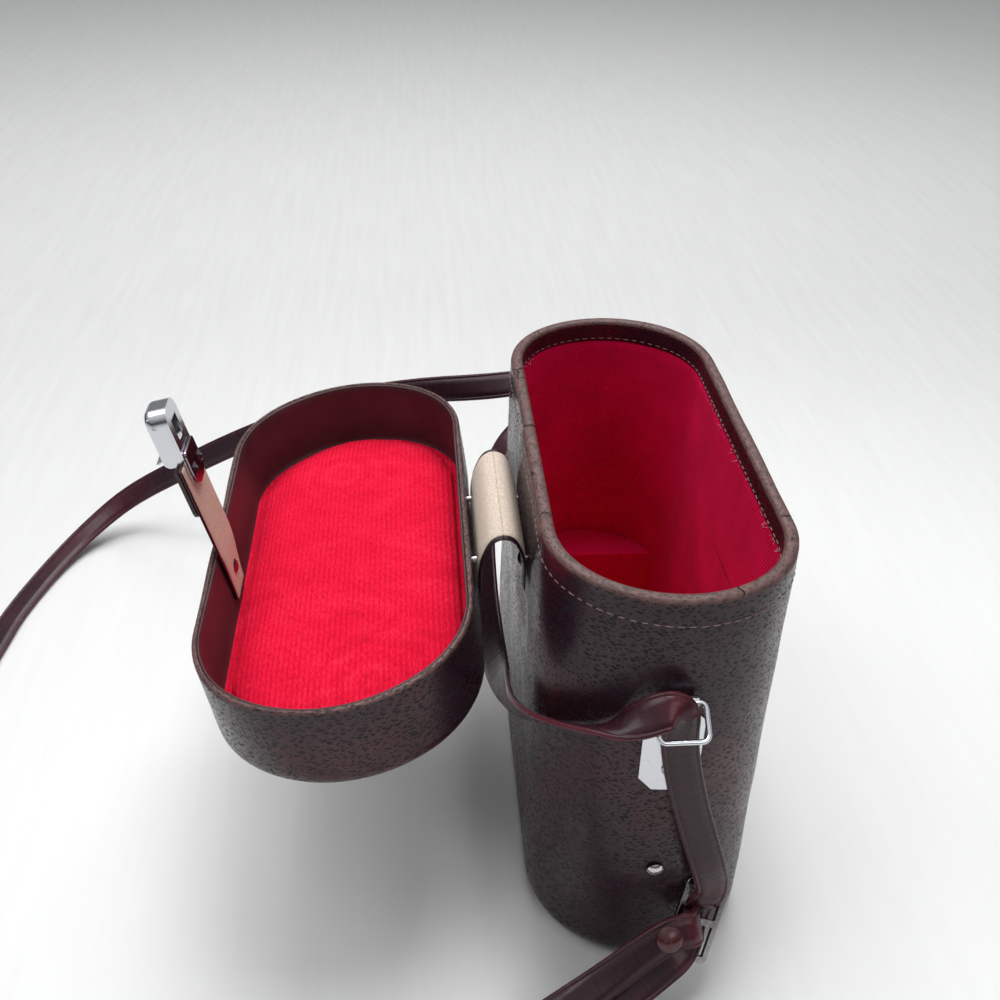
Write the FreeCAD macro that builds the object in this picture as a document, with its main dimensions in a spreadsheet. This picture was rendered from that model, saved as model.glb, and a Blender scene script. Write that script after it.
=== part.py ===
"""Hard case for binoculars: an open leather-covered case with its hinged lid, clasp and strap.

The frame has its origin at the middle of the base, +Z up, +X to the front with the clasp,
and +Y along the case. The case stands open: the lid hangs on its leather hinge behind it.
"""
import FreeCAD, Part
import math
import os
import sys

import Sketcher
from FreeCAD import Placement, Rotation, Vector

# How closely two read coordinates agree, and the share of a run that an arc takes up
SAME = 0.02
NOTHING = 1e-9
ARC_SHARE = 0.45

# Driving sizes, in millimetres and degrees
SIZES = {
    "Case": {
        "case_depth": (85.0, "front to back over the covering"),
        "case_height": (168.0, "base to rim"),
        "top_width": (190.0, "along the rim"),
        "base_width": (222.0, "along the base"),
        "corner_radius": (38.2, "outer corners of the outline"),
        "end_radius": (46.0, "outer ends of the outline"),
        "base_round": (9.0, "rounding under the base"),
        "covering_thickness": (1.0, "leathercloth outside"),
        "board_thickness": (2.2, "fibreboard shell"),
        "lining_thickness": (0.8, "red cloth inside"),
        "glue_line": (0.1, "between two glued layers"),
        "turn_in_depth": (10.0, "covering folded inwards at the rim"),
        "rim_round": (1.7, "rounding of the rolled rim"),
        "floor_pad_thickness": (4.0, "padded board on the floor"),
        "floor_pad_margin": (4.2, "floor board to the lining"),
        "soft_gap": (0.3, "round a loose or soft piece"),
        "block_height": (43.0, "top of the end blocks above the base"),
        "block_length": (21.0, "end blocks, along the case"),
        "block_round": (2.5, "upper edge of the end blocks"),
    },
    "Lid": {
        "lid_clearance": (3.2, "case covering to lid facing"),
        "lid_covering_thickness": (0.9, "leathercloth outside"),
        "lid_board_thickness": (1.2, "fibreboard tray"),
        "lid_facing_thickness": (0.5, "smooth cloth on the inner wall"),
        "lid_depth": (38.0, "rim to the top of the lid"),
        "lid_overlap": (10.0, "how far the shut lid slides over the case"),
        "lid_round": (8.0, "rounding of the lid's top edge"),
        "lid_turn_in": (6.0, "covering folded inwards at the lid's rim"),
        "lid_rim_round": (1.1, "rounding of the lid's rim"),
        "pad_thickness": (8.4, "corduroy pad at its edge"),
        "pad_crown": (3.6, "rise of the pad's middle over its edge"),
        "pad_shoulder": (9.0, "width of the pad's rounded border"),
    },
    "Hinge": {
        "hinge_reach": (14.4, "case back to the hinge line"),
        "hinge_level": (149.0, "base to the hinge line"),
        "open_angle": (187.7, "how far the open lid has turned"),
        "hinge_shift": (-6.0, "middle of the strap along the case"),
        "hinge_width": (58.0, "leather hinge strap"),
        "hinge_thickness": (2.2, "leather hinge strap"),
        "hinge_foot_level": (136.0, "where the strap leaves the case"),
        "hinge_leaf_length": (14.0, "strap fixed to each wall"),
        "hinge_leaf_round": (5.0, "corners of the fixed strap"),
        "hinge_lid_start": (3.0, "lid's rim to where the strap leaves it"),
        "hinge_rivet_spacing": (38.0, "between the rivets of one leaf"),
    },
    "Rivets": {
        "rivet_shank_radius": (1.2, "all small rivets"),
        "rivet_hole_clearance": (0.15, "round a shank"),
        "rivet_head_radius": (3.0, "domed heads"),
        "rivet_head_height": (1.2, "domed heads"),
        "end_rivet_level": (51.0, "single rivet low on each end"),
    },
    "Strap fittings": {
        "fitting_shift": (-1.0, "middle of the end fittings, across the case"),
        "plate_width": (20.0, "bracket plate"),
        "plate_thickness": (1.0, "bracket plate"),
        "plate_foot_level": (91.5, "lower edge of the plate"),
        "plate_shoulder_level": (121.0, "where the plate narrows"),
        "plate_corner": (4.5, "cut corners of the plate"),
        "plate_rivet_level": (101.0, "lower rivet of the plate"),
        "plate_rivet_spacing": (13.0, "between the two rivets"),
        "eye_level": (131.0, "ring's hinge line above the base"),
        "eye_length": (11.0, "rolled eye of the bracket"),
        "eye_wall": (0.9, "rolled eye of the bracket"),
        "eye_clearance": (0.3, "wire to the eye's bore"),
        "ring_wire_radius": (0.9, "strap ring"),
        "ring_opening": (14.2, "inside the ring, across the strap"),
        "ring_reach": (12.5, "between the ring's long bars"),
        "ring_corner": (2.4, "bends of the wire, on its centre"),
        "ring_hang_angle": (35.0, "how far the ring hangs below level"),
    },
    "Clasp": {
        "tab_shift": (-5.0, "middle of the clasp strap along the case"),
        "tab_width": (23.0, "clasp strap"),
        "tab_thickness": (1.8, "clasp strap"),
        "tab_anchor_length": (25.0, "fixed inside the lid"),
        "tab_length": (37.5, "free strap, hinge line to its end"),
        "tab_lean": (5.0, "outward lean of the free strap"),
        "tab_hinge_drop": (1.5, "lid's rim to the strap's hinge line"),
        "tab_gap": (0.4, "between the fixed and the free strap"),
        "tab_rivet_depth": (14.0, "lid's rim to the anchor rivet"),
        "outer_layer_start": (15.5, "from the hinge line"),
        "outer_layer_end": (37.0, "from the hinge line"),
        "outer_layer_thickness": (1.5, "second layer outside"),
        "tongue_start": (27.0, "from the hinge line"),
        "tongue_end": (44.0, "from the hinge line"),
        "tongue_width": (19.0, "dark tongue inside"),
        "tongue_thickness": (1.0, "dark tongue inside"),
        "clasp_plate_start": (30.0, "from the hinge line"),
        "clasp_end": (66.0, "from the hinge line"),
        "clasp_width": (20.0, "metal clasp"),
        "clasp_plate_thickness": (0.8, "flat plate"),
        "housing_start": (38.5, "from the hinge line"),
        "housing_depth": (7.6, "domed shell over the plate"),
        "housing_wall": (0.8, "domed shell"),
        "housing_round": (3.0, "edge of the domed shell"),
        "window_width": (9.0, "catch window in the plate"),
        "window_start": (47.0, "from the hinge line"),
        "window_end": (59.0, "from the hinge line"),
        "lever_width": (11.0, "thumb lever"),
        "lever_thickness": (1.0, "thumb lever"),
        "lever_pin_place": (59.5, "lever's pin from the hinge line"),
        "lever_pin_depth": (5.2, "lever's pin from the plate's inner face"),
        "lever_pin_radius": (0.8, "lever's pin"),
        "lever_boss_radius": (2.6, "round boss on the pin"),
        "lever_reach": (20.0, "pin to the thumb lip"),
        "lever_lip": (3.2, "height of the thumb lip"),
        "lever_gap": (0.35, "round the lever in its slot"),
        "nose_place": (8.6, "pin to the nose that holds the catch"),
        "nose_length": (2.4, "nose under the lever"),
        "spring_wire": (0.5, "lever's spring"),
    },
    "Catch": {
        "catch_plate_width": (17.0, "base plate on the case"),
        "catch_plate_height": (24.0, "base plate on the case"),
        "catch_plate_thickness": (0.8, "base plate on the case"),
        "catch_plate_corner": (3.0, "base plate on the case"),
        "catch_post_width": (6.0, "post through the window"),
        "catch_post_height": (4.4, "post through the window"),
        "catch_head_height": (6.6, "hooked head of the post"),
        "catch_head_thickness": (1.4, "hooked head of the post"),
        "catch_rivet_spacing": (17.0, "between the catch's rivets"),
    },
    "Shoulder strap": {
        "strap_core_radius": (1.5, "core that stands for the flat strap"),
        "buckle_length": (30.0, "slide buckle, along the strap"),
        "buckle_width": (17.4, "slide buckle"),
        "buckle_thickness": (1.8, "slide buckle"),
        "buckle_bar": (2.5, "each of its three bars"),
        "buckle_round": (2.0, "its outer corners"),
        "strap_cap_radius": (3.6, "rivet cap on the strap's end"),
        "strap_cap_height": (1.2, "rivet cap on the strap's end"),
        "strap_thickness": (2.0, "flat strap"),
    },
    "General": {
        "overrun": (2.0, "how far a cutting shape runs past a face"),
    },
}


class Size:
    """A length or an angle that keeps its sheet expression beside its value."""

    def __init__(self, text, value):
        self.text = text
        self.value = value

    def joined(self, sign, other, value):
        right = other.text if isinstance(other, Size) else repr(float(other))
        return Size(f"({self.text} {sign} {right})", value)

    def __add__(self, other):
        return self.joined("+", other, self.value + number(other))

    def __sub__(self, other):
        return self.joined("-", other, self.value - number(other))

    def __mul__(self, other):
        return self.joined("*", other, self.value * number(other))

    def __truediv__(self, other):
        return self.joined("/", other, self.value / number(other))

    def __neg__(self):
        return self * -1


def number(size):
    return size.value if isinstance(size, Size) else float(size)


def cosine(angle):
    return Size(f"cos({angle.text})", math.cos(math.radians(angle.value)))


def sine(angle):
    return Size(f"sin({angle.text})", math.sin(math.radians(angle.value)))


def root(square):
    return Size(f"sqrt({square.text})", math.sqrt(square.value))


class Sheet:
    """The driving sizes, each an attribute, written to a spreadsheet of the document."""

    def __init__(self, document):
        sheet = document.addObject("Spreadsheet::Sheet", "Sizes")
        row = 1
        for group, sizes in SIZES.items():
            sheet.set(f"A{row}", group)
            row += 1
            for alias, (value, meaning) in sizes.items():
                sheet.set(f"A{row}", meaning)
                sheet.set(f"B{row}", str(value))
                sheet.setAlias(f"B{row}", alias)
                setattr(self, alias, Size(f"Sizes.{alias}", value))
                row += 1


doc = FreeCAD.newDocument("BinocularCase")
s = Sheet(doc)
doc.recompute()
ZERO = Size("0", 0.0)
nodes = []


# Drawing helpers

def bind(target, path, size):
    target.setExpression(path, size.text)


def new_body(label):
    body = doc.addObject("PartDesign::Body", "Body")
    body.Label = label
    return body


def new_sketch(body, role, offset=ZERO):
    sketch = body.newObject("Sketcher::SketchObject", "Sketch")
    plane = [item for item in body.Origin.OriginFeatures if item.Role == role][0]
    sketch.AttachmentSupport = [(plane, "")]
    sketch.MapMode = "FlatFace"
    sketch.AttachmentOffset = Placement(Vector(0, 0, number(offset)), Rotation())
    bind(sketch, "AttachmentOffset.Base.z", offset)
    return sketch


def dimension(sketch, kind, places, size):
    """A driven distance, or a point kept on an axis where the distance is zero."""
    axis = {"DistanceX": -2, "DistanceY": -1}.get(kind)
    if axis is not None and abs(number(size)) < NOTHING:
        sketch.addConstraint(Sketcher.Constraint("PointOnObject", *places[-2:], axis))
        return
    index = sketch.addConstraint(Sketcher.Constraint(kind, *places, number(size)))
    bind(sketch, f"Constraints[{index}]", size)


def pin_point(sketch, geometry, point, place):
    dimension(sketch, "DistanceX", (-1, 1, geometry, point), place[0])
    dimension(sketch, "DistanceY", (-1, 1, geometry, point), place[1])


def polygon(sketch, points):
    """A closed run of straight edges through points given as pairs of sizes."""
    count = len(points)
    first = sketch.GeometryCount
    flat = [Vector(number(x), number(y), 0) for x, y in points]
    for index in range(count):
        sketch.addGeometry(Part.LineSegment(flat[index], flat[(index + 1) % count]))
    for index in range(count):
        follower = first + (index + 1) % count
        sketch.addConstraint(Sketcher.Constraint("Coincident", first + index, 2, follower, 1))
    for index, place in enumerate(points):
        pin_point(sketch, first + index, 1, place)
    return sketch


def rectangle(sketch, low, high):
    return polygon(sketch, [low, (high[0], low[1]), high, (low[0], high[1])])


def circle(sketch, centre, radius):
    place = Vector(number(centre[0]), number(centre[1]), 0)
    index = sketch.addGeometry(Part.Circle(place, Vector(0, 0, 1), number(radius)))
    pin_point(sketch, index, 3, centre)
    dimension(sketch, "Radius", (index,), radius)
    return sketch


def rounded_outline(body, level, half_depth, half_width, corner, end):
    """The case's outline at a level: two straight sides and ends of three tangent arcs."""
    sketch = new_sketch(body, "XY_Plane", level)
    centre_x = half_depth - corner
    end_y = half_width - end
    rise = root((end - corner) * (end - corner) - centre_x * centre_x)
    centre_y = end_y + rise
    turn = math.atan2(number(rise), number(centre_x))
    upright = Vector(0, 0, 1)

    def arc(x, y, radius, start, stop):
        ring = Part.Circle(Vector(x, y, 0), upright, number(radius))
        return sketch.addGeometry(Part.ArcOfCircle(ring, start, stop))

    cx, cy, ey = number(centre_x), number(centre_y), number(end_y)
    edge = number(half_depth)
    half_turn, full_turn = math.pi, 2 * math.pi
    right = sketch.addGeometry(Part.LineSegment(Vector(edge, -cy, 0), Vector(edge, cy, 0)))
    corner_a = arc(cx, cy, corner, 0, turn)
    far_end = arc(0, ey, end, turn, half_turn - turn)
    corner_b = arc(-cx, cy, corner, half_turn - turn, half_turn)
    left = sketch.addGeometry(Part.LineSegment(Vector(-edge, cy, 0), Vector(-edge, -cy, 0)))
    corner_c = arc(-cx, -cy, corner, half_turn, half_turn + turn)
    near_end = arc(0, -ey, end, half_turn + turn, full_turn - turn)
    corner_d = arc(cx, -cy, corner, full_turn - turn, full_turn)
    loop = [right, corner_a, far_end, corner_b, left, corner_c, near_end, corner_d]
    for index, item in enumerate(loop):
        follower = loop[(index + 1) % len(loop)]
        sketch.addConstraint(Sketcher.Constraint("Tangent", item, 2, follower, 1))
    for index, x, y in ((corner_a, centre_x, centre_y), (corner_b, -centre_x, centre_y),
                        (corner_c, -centre_x, -centre_y), (corner_d, centre_x, -centre_y)):
        pin_point(sketch, index, 3, (x, y))
    dimension(sketch, "Radius", (corner_a,), corner)
    for index in (corner_b, corner_c, corner_d):
        sketch.addConstraint(Sketcher.Constraint("Equal", corner_a, index))
    for index, y in ((far_end, end_y), (near_end, -end_y)):
        dimension(sketch, "DistanceY", (-1, 1, index, 3), y)
    return sketch


def case_outline(body, inset, level):
    half_width = s.top_width / 2 + (s.base_width - s.top_width) / 2 * (
        (s.case_height - level) / s.case_height)
    return rounded_outline(body, level, s.case_depth / 2 - inset, half_width - inset,
                           s.corner_radius - inset, s.end_radius - inset)


def feature(body, kind, name, **settings):
    item = body.newObject(f"PartDesign::{kind}", name)
    for key, value in settings.items():
        setattr(item, key, value)
    return item


def stacked(body, name, outline, stations, adds=True):
    """A form through an outline's stations, each an inset and a level, from the lowest up."""
    profile, *sections = [outline(body, inset, level) for inset, level in stations]
    kind = "AdditiveLoft" if adds else "SubtractiveLoft"
    return feature(body, kind, name, Profile=profile, Sections=sections, Ruled=True)


ROUNDING_ANGLES = [Size(repr(angle), angle) for angle in (0.0, 30.0, 60.0, 90.0)]


def rounding(inset, level, radius, rises):
    """Stations of a quarter round between a flat face at a level and the wall at an inset.

    The wall stands above the flat face where it rises, and below it otherwise. A negative
    radius rounds the wall outwards, as at the mouth of a hollow.
    """
    reach = radius if number(radius) > 0 else -radius
    stations = []
    for angle in ROUNDING_ANGLES:
        shift = radius * (Size("1", 1.0) - sine(angle))
        depth = reach * (Size("1", 1.0) - cosine(angle))
        stations.append((inset + shift, level + depth if rises else level - depth))
    return stations if rises else stations[::-1]


def case_form(body, name, inset, low, high, adds=True):
    """The case's tapering form between two levels, added to the body or taken from it."""
    return stacked(body, name, case_outline, [(inset, low), (inset, high)], adds)


lid_offset = (s.lid_clearance + s.lid_covering_thickness + s.lid_board_thickness
              + s.lid_facing_thickness + s.glue_line * 2)
lid_rim = s.case_height - s.lid_overlap
lid_top = lid_rim + s.lid_depth


def lid_outline(body, inset, level):
    grow = lid_offset - inset
    return rounded_outline(body, level, s.case_depth / 2 + grow, s.top_width / 2 + grow,
                           s.corner_radius + grow, s.end_radius + grow)


def lid_form(body, name, inset, low, high, adds=True):
    """The lid's straight-walled form between two levels, in its shut place."""
    return stacked(body, name, lid_outline, [(inset, low), (inset, high)], adds)


def pad(body, name, sketch, length, symmetric=False, reverse=False, kind="Pad"):
    item = feature(body, kind, name, Profile=sketch, Reversed=reverse)
    item.SideType = "Symmetric" if symmetric else "One side"
    item.Length = number(length)
    bind(item, "Length", length)
    return item


def edges_at(shape, axis, level, along=None):
    """Names of the edges that lie at one level of an axis, such as a rim."""
    names = []
    for index, edge in enumerate(shape.Edges, 1):
        box = edge.BoundBox
        low = (box.XMin, box.YMin, box.ZMin)[axis]
        high = (box.XMax, box.YMax, box.ZMax)[axis]
        if abs(low - number(level)) < SAME and abs(high - number(level)) < SAME:
            if along is None or along(edge):
                names.append(f"Edge{index}")
    return names


def round_edges(body, name, radius, pick):
    """A fillet on the edges of the body's tip that pick() names."""
    doc.recompute()
    tip = body.Tip
    item = feature(body, "Fillet", name, Base=(tip, pick(tip.Shape)))
    item.Radius = number(radius)
    bind(item, "Radius", radius)
    return item


def hollow_out(body, name, tool):
    """Takes the form of another body out of this one."""
    item = body.newObject("PartDesign::Boolean", name)
    item.setObjects([tool])
    item.Type = "Cut"
    return item


def solid(kind, label, **sizes):
    """A Part primitive whose sizes are bound to the sheet."""
    item = doc.addObject(f"Part::{kind}", "Shape")
    item.Label = label
    for name, value in sizes.items():
        setattr(item, name, number(value))
        bind(item, name, value)
    return item


def place(item, x=ZERO, y=ZERO, z=ZERO, turn=None):
    """Moves an object to a bound place, turned by a fixed rotation where one is given."""
    item.Placement = Placement(Vector(number(x), number(y), number(z)), turn or Rotation())
    for axis, size in (("x", x), ("y", y), ("z", z)):
        bind(item, f"Placement.Base.{axis}", size)
    return item


def joined(kind, label, first, second):
    item = doc.addObject(f"Part::{kind}", "Join")
    item.Label = label
    item.Base = first
    item.Tool = second
    return item


def together(label, items):
    """Several separate solids that share one node."""
    item = doc.addObject("Part::Compound", "Group")
    item.Label = label
    item.Links = items
    return item


def mirrored(label, source):
    """The same piece on the other end of the case."""
    item = doc.addObject("Part::Mirroring", "Mirrored")
    item.Label = label
    item.Source = source
    item.Normal = Vector(0, 1, 0)
    return item


def keep(item):
    nodes.append(item)
    return item


# Where the walls stand

half_case = s.case_depth / 2
board_face = s.covering_thickness + s.glue_line
board_back = board_face + s.board_thickness
lining_face = board_back + s.glue_line
wall = lining_face + s.lining_thickness
shank_hole = s.rivet_shank_radius + s.rivet_hole_clearance


def end_wall(level):
    """Distance from the middle to the outer face of an end wall, at a level."""
    return s.top_width / 2 + (s.base_width - s.top_width) / 2 * (
        (s.case_height - level) / s.case_height)


end_rivet_levels = [s.plate_rivet_level, s.plate_rivet_level + s.plate_rivet_spacing,
                    s.end_rivet_level]
hinge_rivet_places = [s.hinge_shift - s.hinge_rivet_spacing / 2,
                      s.hinge_shift + s.hinge_rivet_spacing / 2]
hinge_rivet_level = s.hinge_foot_level - s.hinge_leaf_length / 2
lid_rivet_level = lid_rim + s.hinge_lid_start + s.hinge_leaf_length / 2
hinge_x = -(half_case + s.hinge_reach)

# The clasp in the shut lid: its strap hangs from a hinge line just under the lid's rim
tab_face = half_case + s.lid_clearance
tab_x = tab_face - s.tab_thickness / 2
tab_hinge_z = lid_rim - s.tab_hinge_drop
catch_level = tab_hinge_z - (s.window_start + s.window_end) / 2 * cosine(s.tab_lean)


def rivet_holes(body, name):
    """Holes for the end fittings, the hinge and the catch through one layer of the case."""
    ends = new_sketch(body, "XZ_Plane")
    for level in end_rivet_levels:
        circle(ends, (s.fitting_shift, level), shank_hole)
    pad(body, name + "Ends", ends, s.base_width + s.overrun, symmetric=True, kind="Pocket")
    back = new_sketch(body, "YZ_Plane", -half_case - s.overrun)
    for across in hinge_rivet_places:
        circle(back, (across, hinge_rivet_level), shank_hole)
    pad(body, name + "Back", back, half_case, reverse=True, kind="Pocket")
    for index, side in enumerate((-1, 1), 1):
        pin = new_body(f"{body.Label}_front_pin_{index}")
        front = new_sketch(pin, "YZ_Plane", half_case - board_back - s.overrun)
        level = catch_level + s.catch_rivet_spacing / 2 * side
        circle(front, (s.tab_shift, level), shank_hole)
        pad(pin, "Pin", front, board_back + s.overrun * 2)
        hollow_out(body, f"{name}Front{index}", pin)


# The case

def rounded_case(label, inset, top, rim_round=None):
    """A body with the case's form inside one layer's face, rounded under its base."""
    body = new_body(label)
    stations = rounding(inset, inset, s.base_round - inset, rises=True)
    if rim_round is None:
        stations.append((inset, top))
    else:
        stations += rounding(inset, top, rim_round, rises=False)
    stacked(body, "Outside", case_outline, stations)
    return body


def make_covering():
    """Leathercloth over the outside and the base, rolled over the rim and turned in."""
    under_rim = s.case_height - s.covering_thickness
    turn_in = s.case_height - s.turn_in_depth
    body = rounded_case("case_covering", ZERO, s.case_height, s.rim_round)
    hollow_out(body, "Hollow", rounded_case("case_covering_inside", s.covering_thickness,
                                            under_rim))
    case_form(body, "TurnIn", board_back + s.glue_line, turn_in, under_rim)
    mouth = [(wall, turn_in - s.overrun)]
    mouth += rounding(wall, s.case_height, -s.rim_round, rises=False)
    mouth.append((wall - s.rim_round, s.case_height + s.overrun))
    stacked(body, "Mouth", case_outline, mouth, adds=False)
    rivet_holes(body, "Hole")
    return keep(body)


def make_layer(label, face, back, top):
    """One closed layer of the case inside the covering, with its floor."""
    body = rounded_case(label, face, top)
    hollow_out(body, "Hollow", rounded_case(label + "_inside", back, top + s.overrun))
    return body


def make_case():
    make_covering()
    board_top = s.case_height - s.covering_thickness - s.glue_line
    board = make_layer("case_board", board_face, board_back, board_top)
    rivet_holes(board, "Hole")
    keep(board)
    lining_top = s.case_height - s.turn_in_depth - s.glue_line
    keep(make_layer("case_lining", lining_face, wall, lining_top))
    floor = new_body("floor_pad")
    floor_low = wall + s.soft_gap
    case_form(floor, "Board", wall + s.floor_pad_margin, floor_low,
              floor_low + s.floor_pad_thickness)
    keep(floor)
    block_low = floor_low + s.floor_pad_thickness + s.soft_gap
    block_end = end_wall(ZERO)
    block_form = new_body("end_block_form")
    case_form(block_form, "Block", wall + s.soft_gap, block_low, s.block_height)
    reach = end_wall(s.block_height) - wall - s.soft_gap - s.block_length
    half = solid("Box", "end_block_limit", Length=s.case_depth, Width=block_end,
                 Height=s.block_height)
    place(half, -half_case, reach, ZERO)
    far = keep(joined("Common", "end_block_far", block_form, half))
    keep(mirrored("end_block_near", far))


# Rivets with domed heads

def domed_rivet(label, grip, head=None, height=None):
    """A rivet along Z: its head stands on the XY plane and its shank hangs below."""
    radius = head or s.rivet_head_radius
    rise = height or s.rivet_head_height
    ball = (radius * radius + rise * rise) / (rise * 2)
    dome = solid("Sphere", label + "_dome", Radius=ball)
    lift = ball - rise
    latitude = Size(f"(asin({(lift / ball).text}) / 1 deg)",
                    math.degrees(math.asin(number(lift / ball))))
    dome.Angle1 = number(latitude)
    bind(dome, "Angle1", latitude)
    place(dome, z=-lift)
    shank = solid("Cylinder", label + "_shank", Radius=s.rivet_shank_radius, Height=grip)
    place(shank, z=-grip)
    return joined("Fuse", label, dome, shank)


def rivet_row(label, grip, heads):
    """Like rivets at places given as x, y, z and the turn that points the head outwards."""
    rivets = []
    for index, (x, y, z, turn) in enumerate(heads, 1):
        rivet = domed_rivet(f"{label}_{index}", grip)
        rivets.append(place(rivet, x, y, z, turn))
    return together(label, rivets)


FACING_BACK = Rotation(Vector(0, 1, 0), -90)
FACING_FRONT = Rotation(Vector(0, 1, 0), 90)
FACING_NEAR = Rotation(Vector(1, 0, 0), 90)


# Strap fittings on the ends

eye_radius = s.ring_wire_radius + s.eye_clearance + s.eye_wall
eye_y = -(end_wall(s.eye_level) + s.glue_line + s.eye_clearance / 2 + eye_radius)


def make_bracket():
    """Bracket plate bent to the end wall, with a rolled eye along its upper edge."""
    skin = new_body("bracket_skin")
    low, high = s.plate_foot_level - s.overrun, s.eye_level + s.overrun
    case_form(skin, "Outside", -(s.glue_line + s.plate_thickness), low, high)
    case_form(skin, "Inside", -s.glue_line, low - s.overrun, high + s.overrun, adds=False)
    outline = new_body("bracket_outline")
    half = s.plate_width / 2
    neck = s.eye_length / 2
    middle = s.fitting_shift
    foot = s.plate_foot_level
    rim = s.plate_shoulder_level
    right = [(half - s.plate_corner, foot), (half, foot + s.plate_corner), (half, rim),
             (neck, rim + s.plate_corner), (neck, s.eye_level)]
    points = [(middle + x, z) for x, z in right]
    points += [(middle - x, z) for x, z in reversed(right)]
    sketch = new_sketch(outline, "XZ_Plane")
    polygon(sketch, points)
    pad(outline, "Plate", sketch, s.base_width)
    sketch = new_sketch(outline, "XZ_Plane")
    for level in end_rivet_levels[:2]:
        circle(sketch, (middle, level), shank_hole)
    pad(outline, "Bores", sketch, s.base_width, reverse=True, kind="Pocket")
    plate = joined("Common", "bracket_plate", skin, outline)
    eye = new_body("bracket_eye")
    sketch = new_sketch(eye, "YZ_Plane", middle)
    circle(sketch, (eye_y, s.eye_level), eye_radius)
    circle(sketch, (eye_y, s.eye_level), s.ring_wire_radius + s.eye_clearance)
    pad(eye, "Eye", sketch, s.eye_length, symmetric=True)
    blank = joined("Fuse", "bracket_blank", plate, eye)
    bore = solid("Cylinder", "bracket_eye_bore", Radius=s.ring_wire_radius + s.eye_clearance,
                 Height=s.plate_width)
    place(bore, middle - s.plate_width / 2, eye_y, s.eye_level, FACING_FRONT)
    return joined("Cut", "strap_bracket_near", blank, bore)


def make_ring():
    """Rectangular wire ring, its back bar through the bracket's eye."""
    reach, corner = number(s.ring_reach), number(s.ring_corner)
    side = number(s.ring_opening) / 2 + number(s.ring_wire_radius)
    corners = [Vector(side, 0, 0), Vector(side, -reach, 0), Vector(-side, -reach, 0),
               Vector(-side, 0, 0)]
    wire_path = rounded_loop(corners, corner)
    start = Part.Circle(Vector(0, 0, 0), Vector(1, 0, 0), number(s.ring_wire_radius))
    ring = wire_path.makePipeShell([Part.Wire(start.toShape())], True, False)
    item = doc.addObject("Part::Feature", "Ring")
    item.Label = "strap_ring_near"
    item.Shape = ring
    hang = Rotation(Vector(1, 0, 0), number(s.ring_hang_angle))
    item.Placement = Placement(
        Vector(number(s.fitting_shift), number(eye_y), number(s.eye_level)), hang)
    return item


def rounded_loop(corners, radius):
    """A closed path of straight runs and tangent arcs that starts in the middle of a run."""
    count = len(corners)
    edges = []
    arcs = []
    for index, here in enumerate(corners):
        before = (corners[index - 1] - here).normalize()
        after = (corners[(index + 1) % count] - here).normalize()
        half = (before.getAngle(after)) / 2
        step = radius / math.tan(half)
        bisector = (before + after).normalize()
        middle = here + bisector * (radius / math.sin(half) - radius)
        arcs.append((here + before * step, middle, here + after * step))
    start = (arcs[-1][2] + arcs[0][0]) / 2
    point = start
    for first, middle, last in arcs:
        edges.append(Part.LineSegment(point, first).toShape())
        edges.append(Part.Arc(first, middle, last).toShape())
        point = last
    edges.append(Part.LineSegment(point, start).toShape())
    return Part.Wire(edges)


def make_end_fittings():
    bracket = keep(make_bracket())
    keep(mirrored("strap_bracket_far", bracket))
    ring = keep(make_ring())
    keep(mirrored("strap_ring_far", ring))
    grip = s.plate_thickness + s.glue_line + board_back - s.glue_line
    heads = []
    for level in end_rivet_levels[:2]:
        face = -(end_wall(level) + s.glue_line + s.plate_thickness + s.soft_gap)
        heads.append((s.fitting_shift, face, level, FACING_NEAR))
    plates = keep(rivet_row("bracket_rivets_near", grip, heads))
    keep(mirrored("bracket_rivets_far", plates))
    slope = (s.base_width - s.top_width) / 2 / s.case_height
    face = -(end_wall(s.end_rivet_level) + s.glue_line + s.rivet_head_radius * slope)
    level = s.end_rivet_level
    single = keep(rivet_row("end_rivet_near", board_back - s.glue_line,
                            [(s.fitting_shift, face, level, FACING_NEAR)]))
    keep(mirrored("end_rivet_far", single))


# The lid, drawn shut over the case and then turned open about the hinge line

def open_lid(item):
    """Turns a piece of the shut lid open about the hinge line."""
    angle = s.open_angle
    far, up = cosine(angle), sine(angle)
    x = hinge_x - hinge_x * far + s.hinge_level * up
    z = s.hinge_level - hinge_x * up - s.hinge_level * far
    item.Placement = Placement(Vector(number(x), 0, number(z)),
                               Rotation(Vector(0, -1, 0), number(angle)))
    bind(item, "Placement.Base.x", x)
    bind(item, "Placement.Base.z", z)
    bind(item, "Placement.Rotation.Angle", angle)
    return keep(item)


def lid_holes(body, name):
    """Holes for the hinge rivets and the clasp strap's rivet through one layer of the lid."""
    outside = half_case + lid_offset
    back = new_sketch(body, "YZ_Plane", -outside - s.overrun)
    for across in hinge_rivet_places:
        circle(back, (across, lid_rivet_level), shank_hole)
    pad(body, name + "Back", back, outside, reverse=True, kind="Pocket")
    front = new_sketch(body, "YZ_Plane", outside + s.overrun)
    circle(front, (s.tab_shift, lid_rim + s.tab_rivet_depth), shank_hole)
    pad(body, name + "Front", front, outside, kind="Pocket")


def rounded_lid(label, inset, low, rim_round=None):
    """A body with the lid's form inside one layer's face, rounded along its top."""
    body = new_body(label)
    if rim_round is None:
        stations = [(inset, low)]
    else:
        stations = rounding(inset, low, rim_round, rises=True)
    stations += rounding(inset, lid_top - inset, s.lid_round - inset, rises=False)
    stacked(body, "Outside", lid_outline, stations)
    return body


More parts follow.
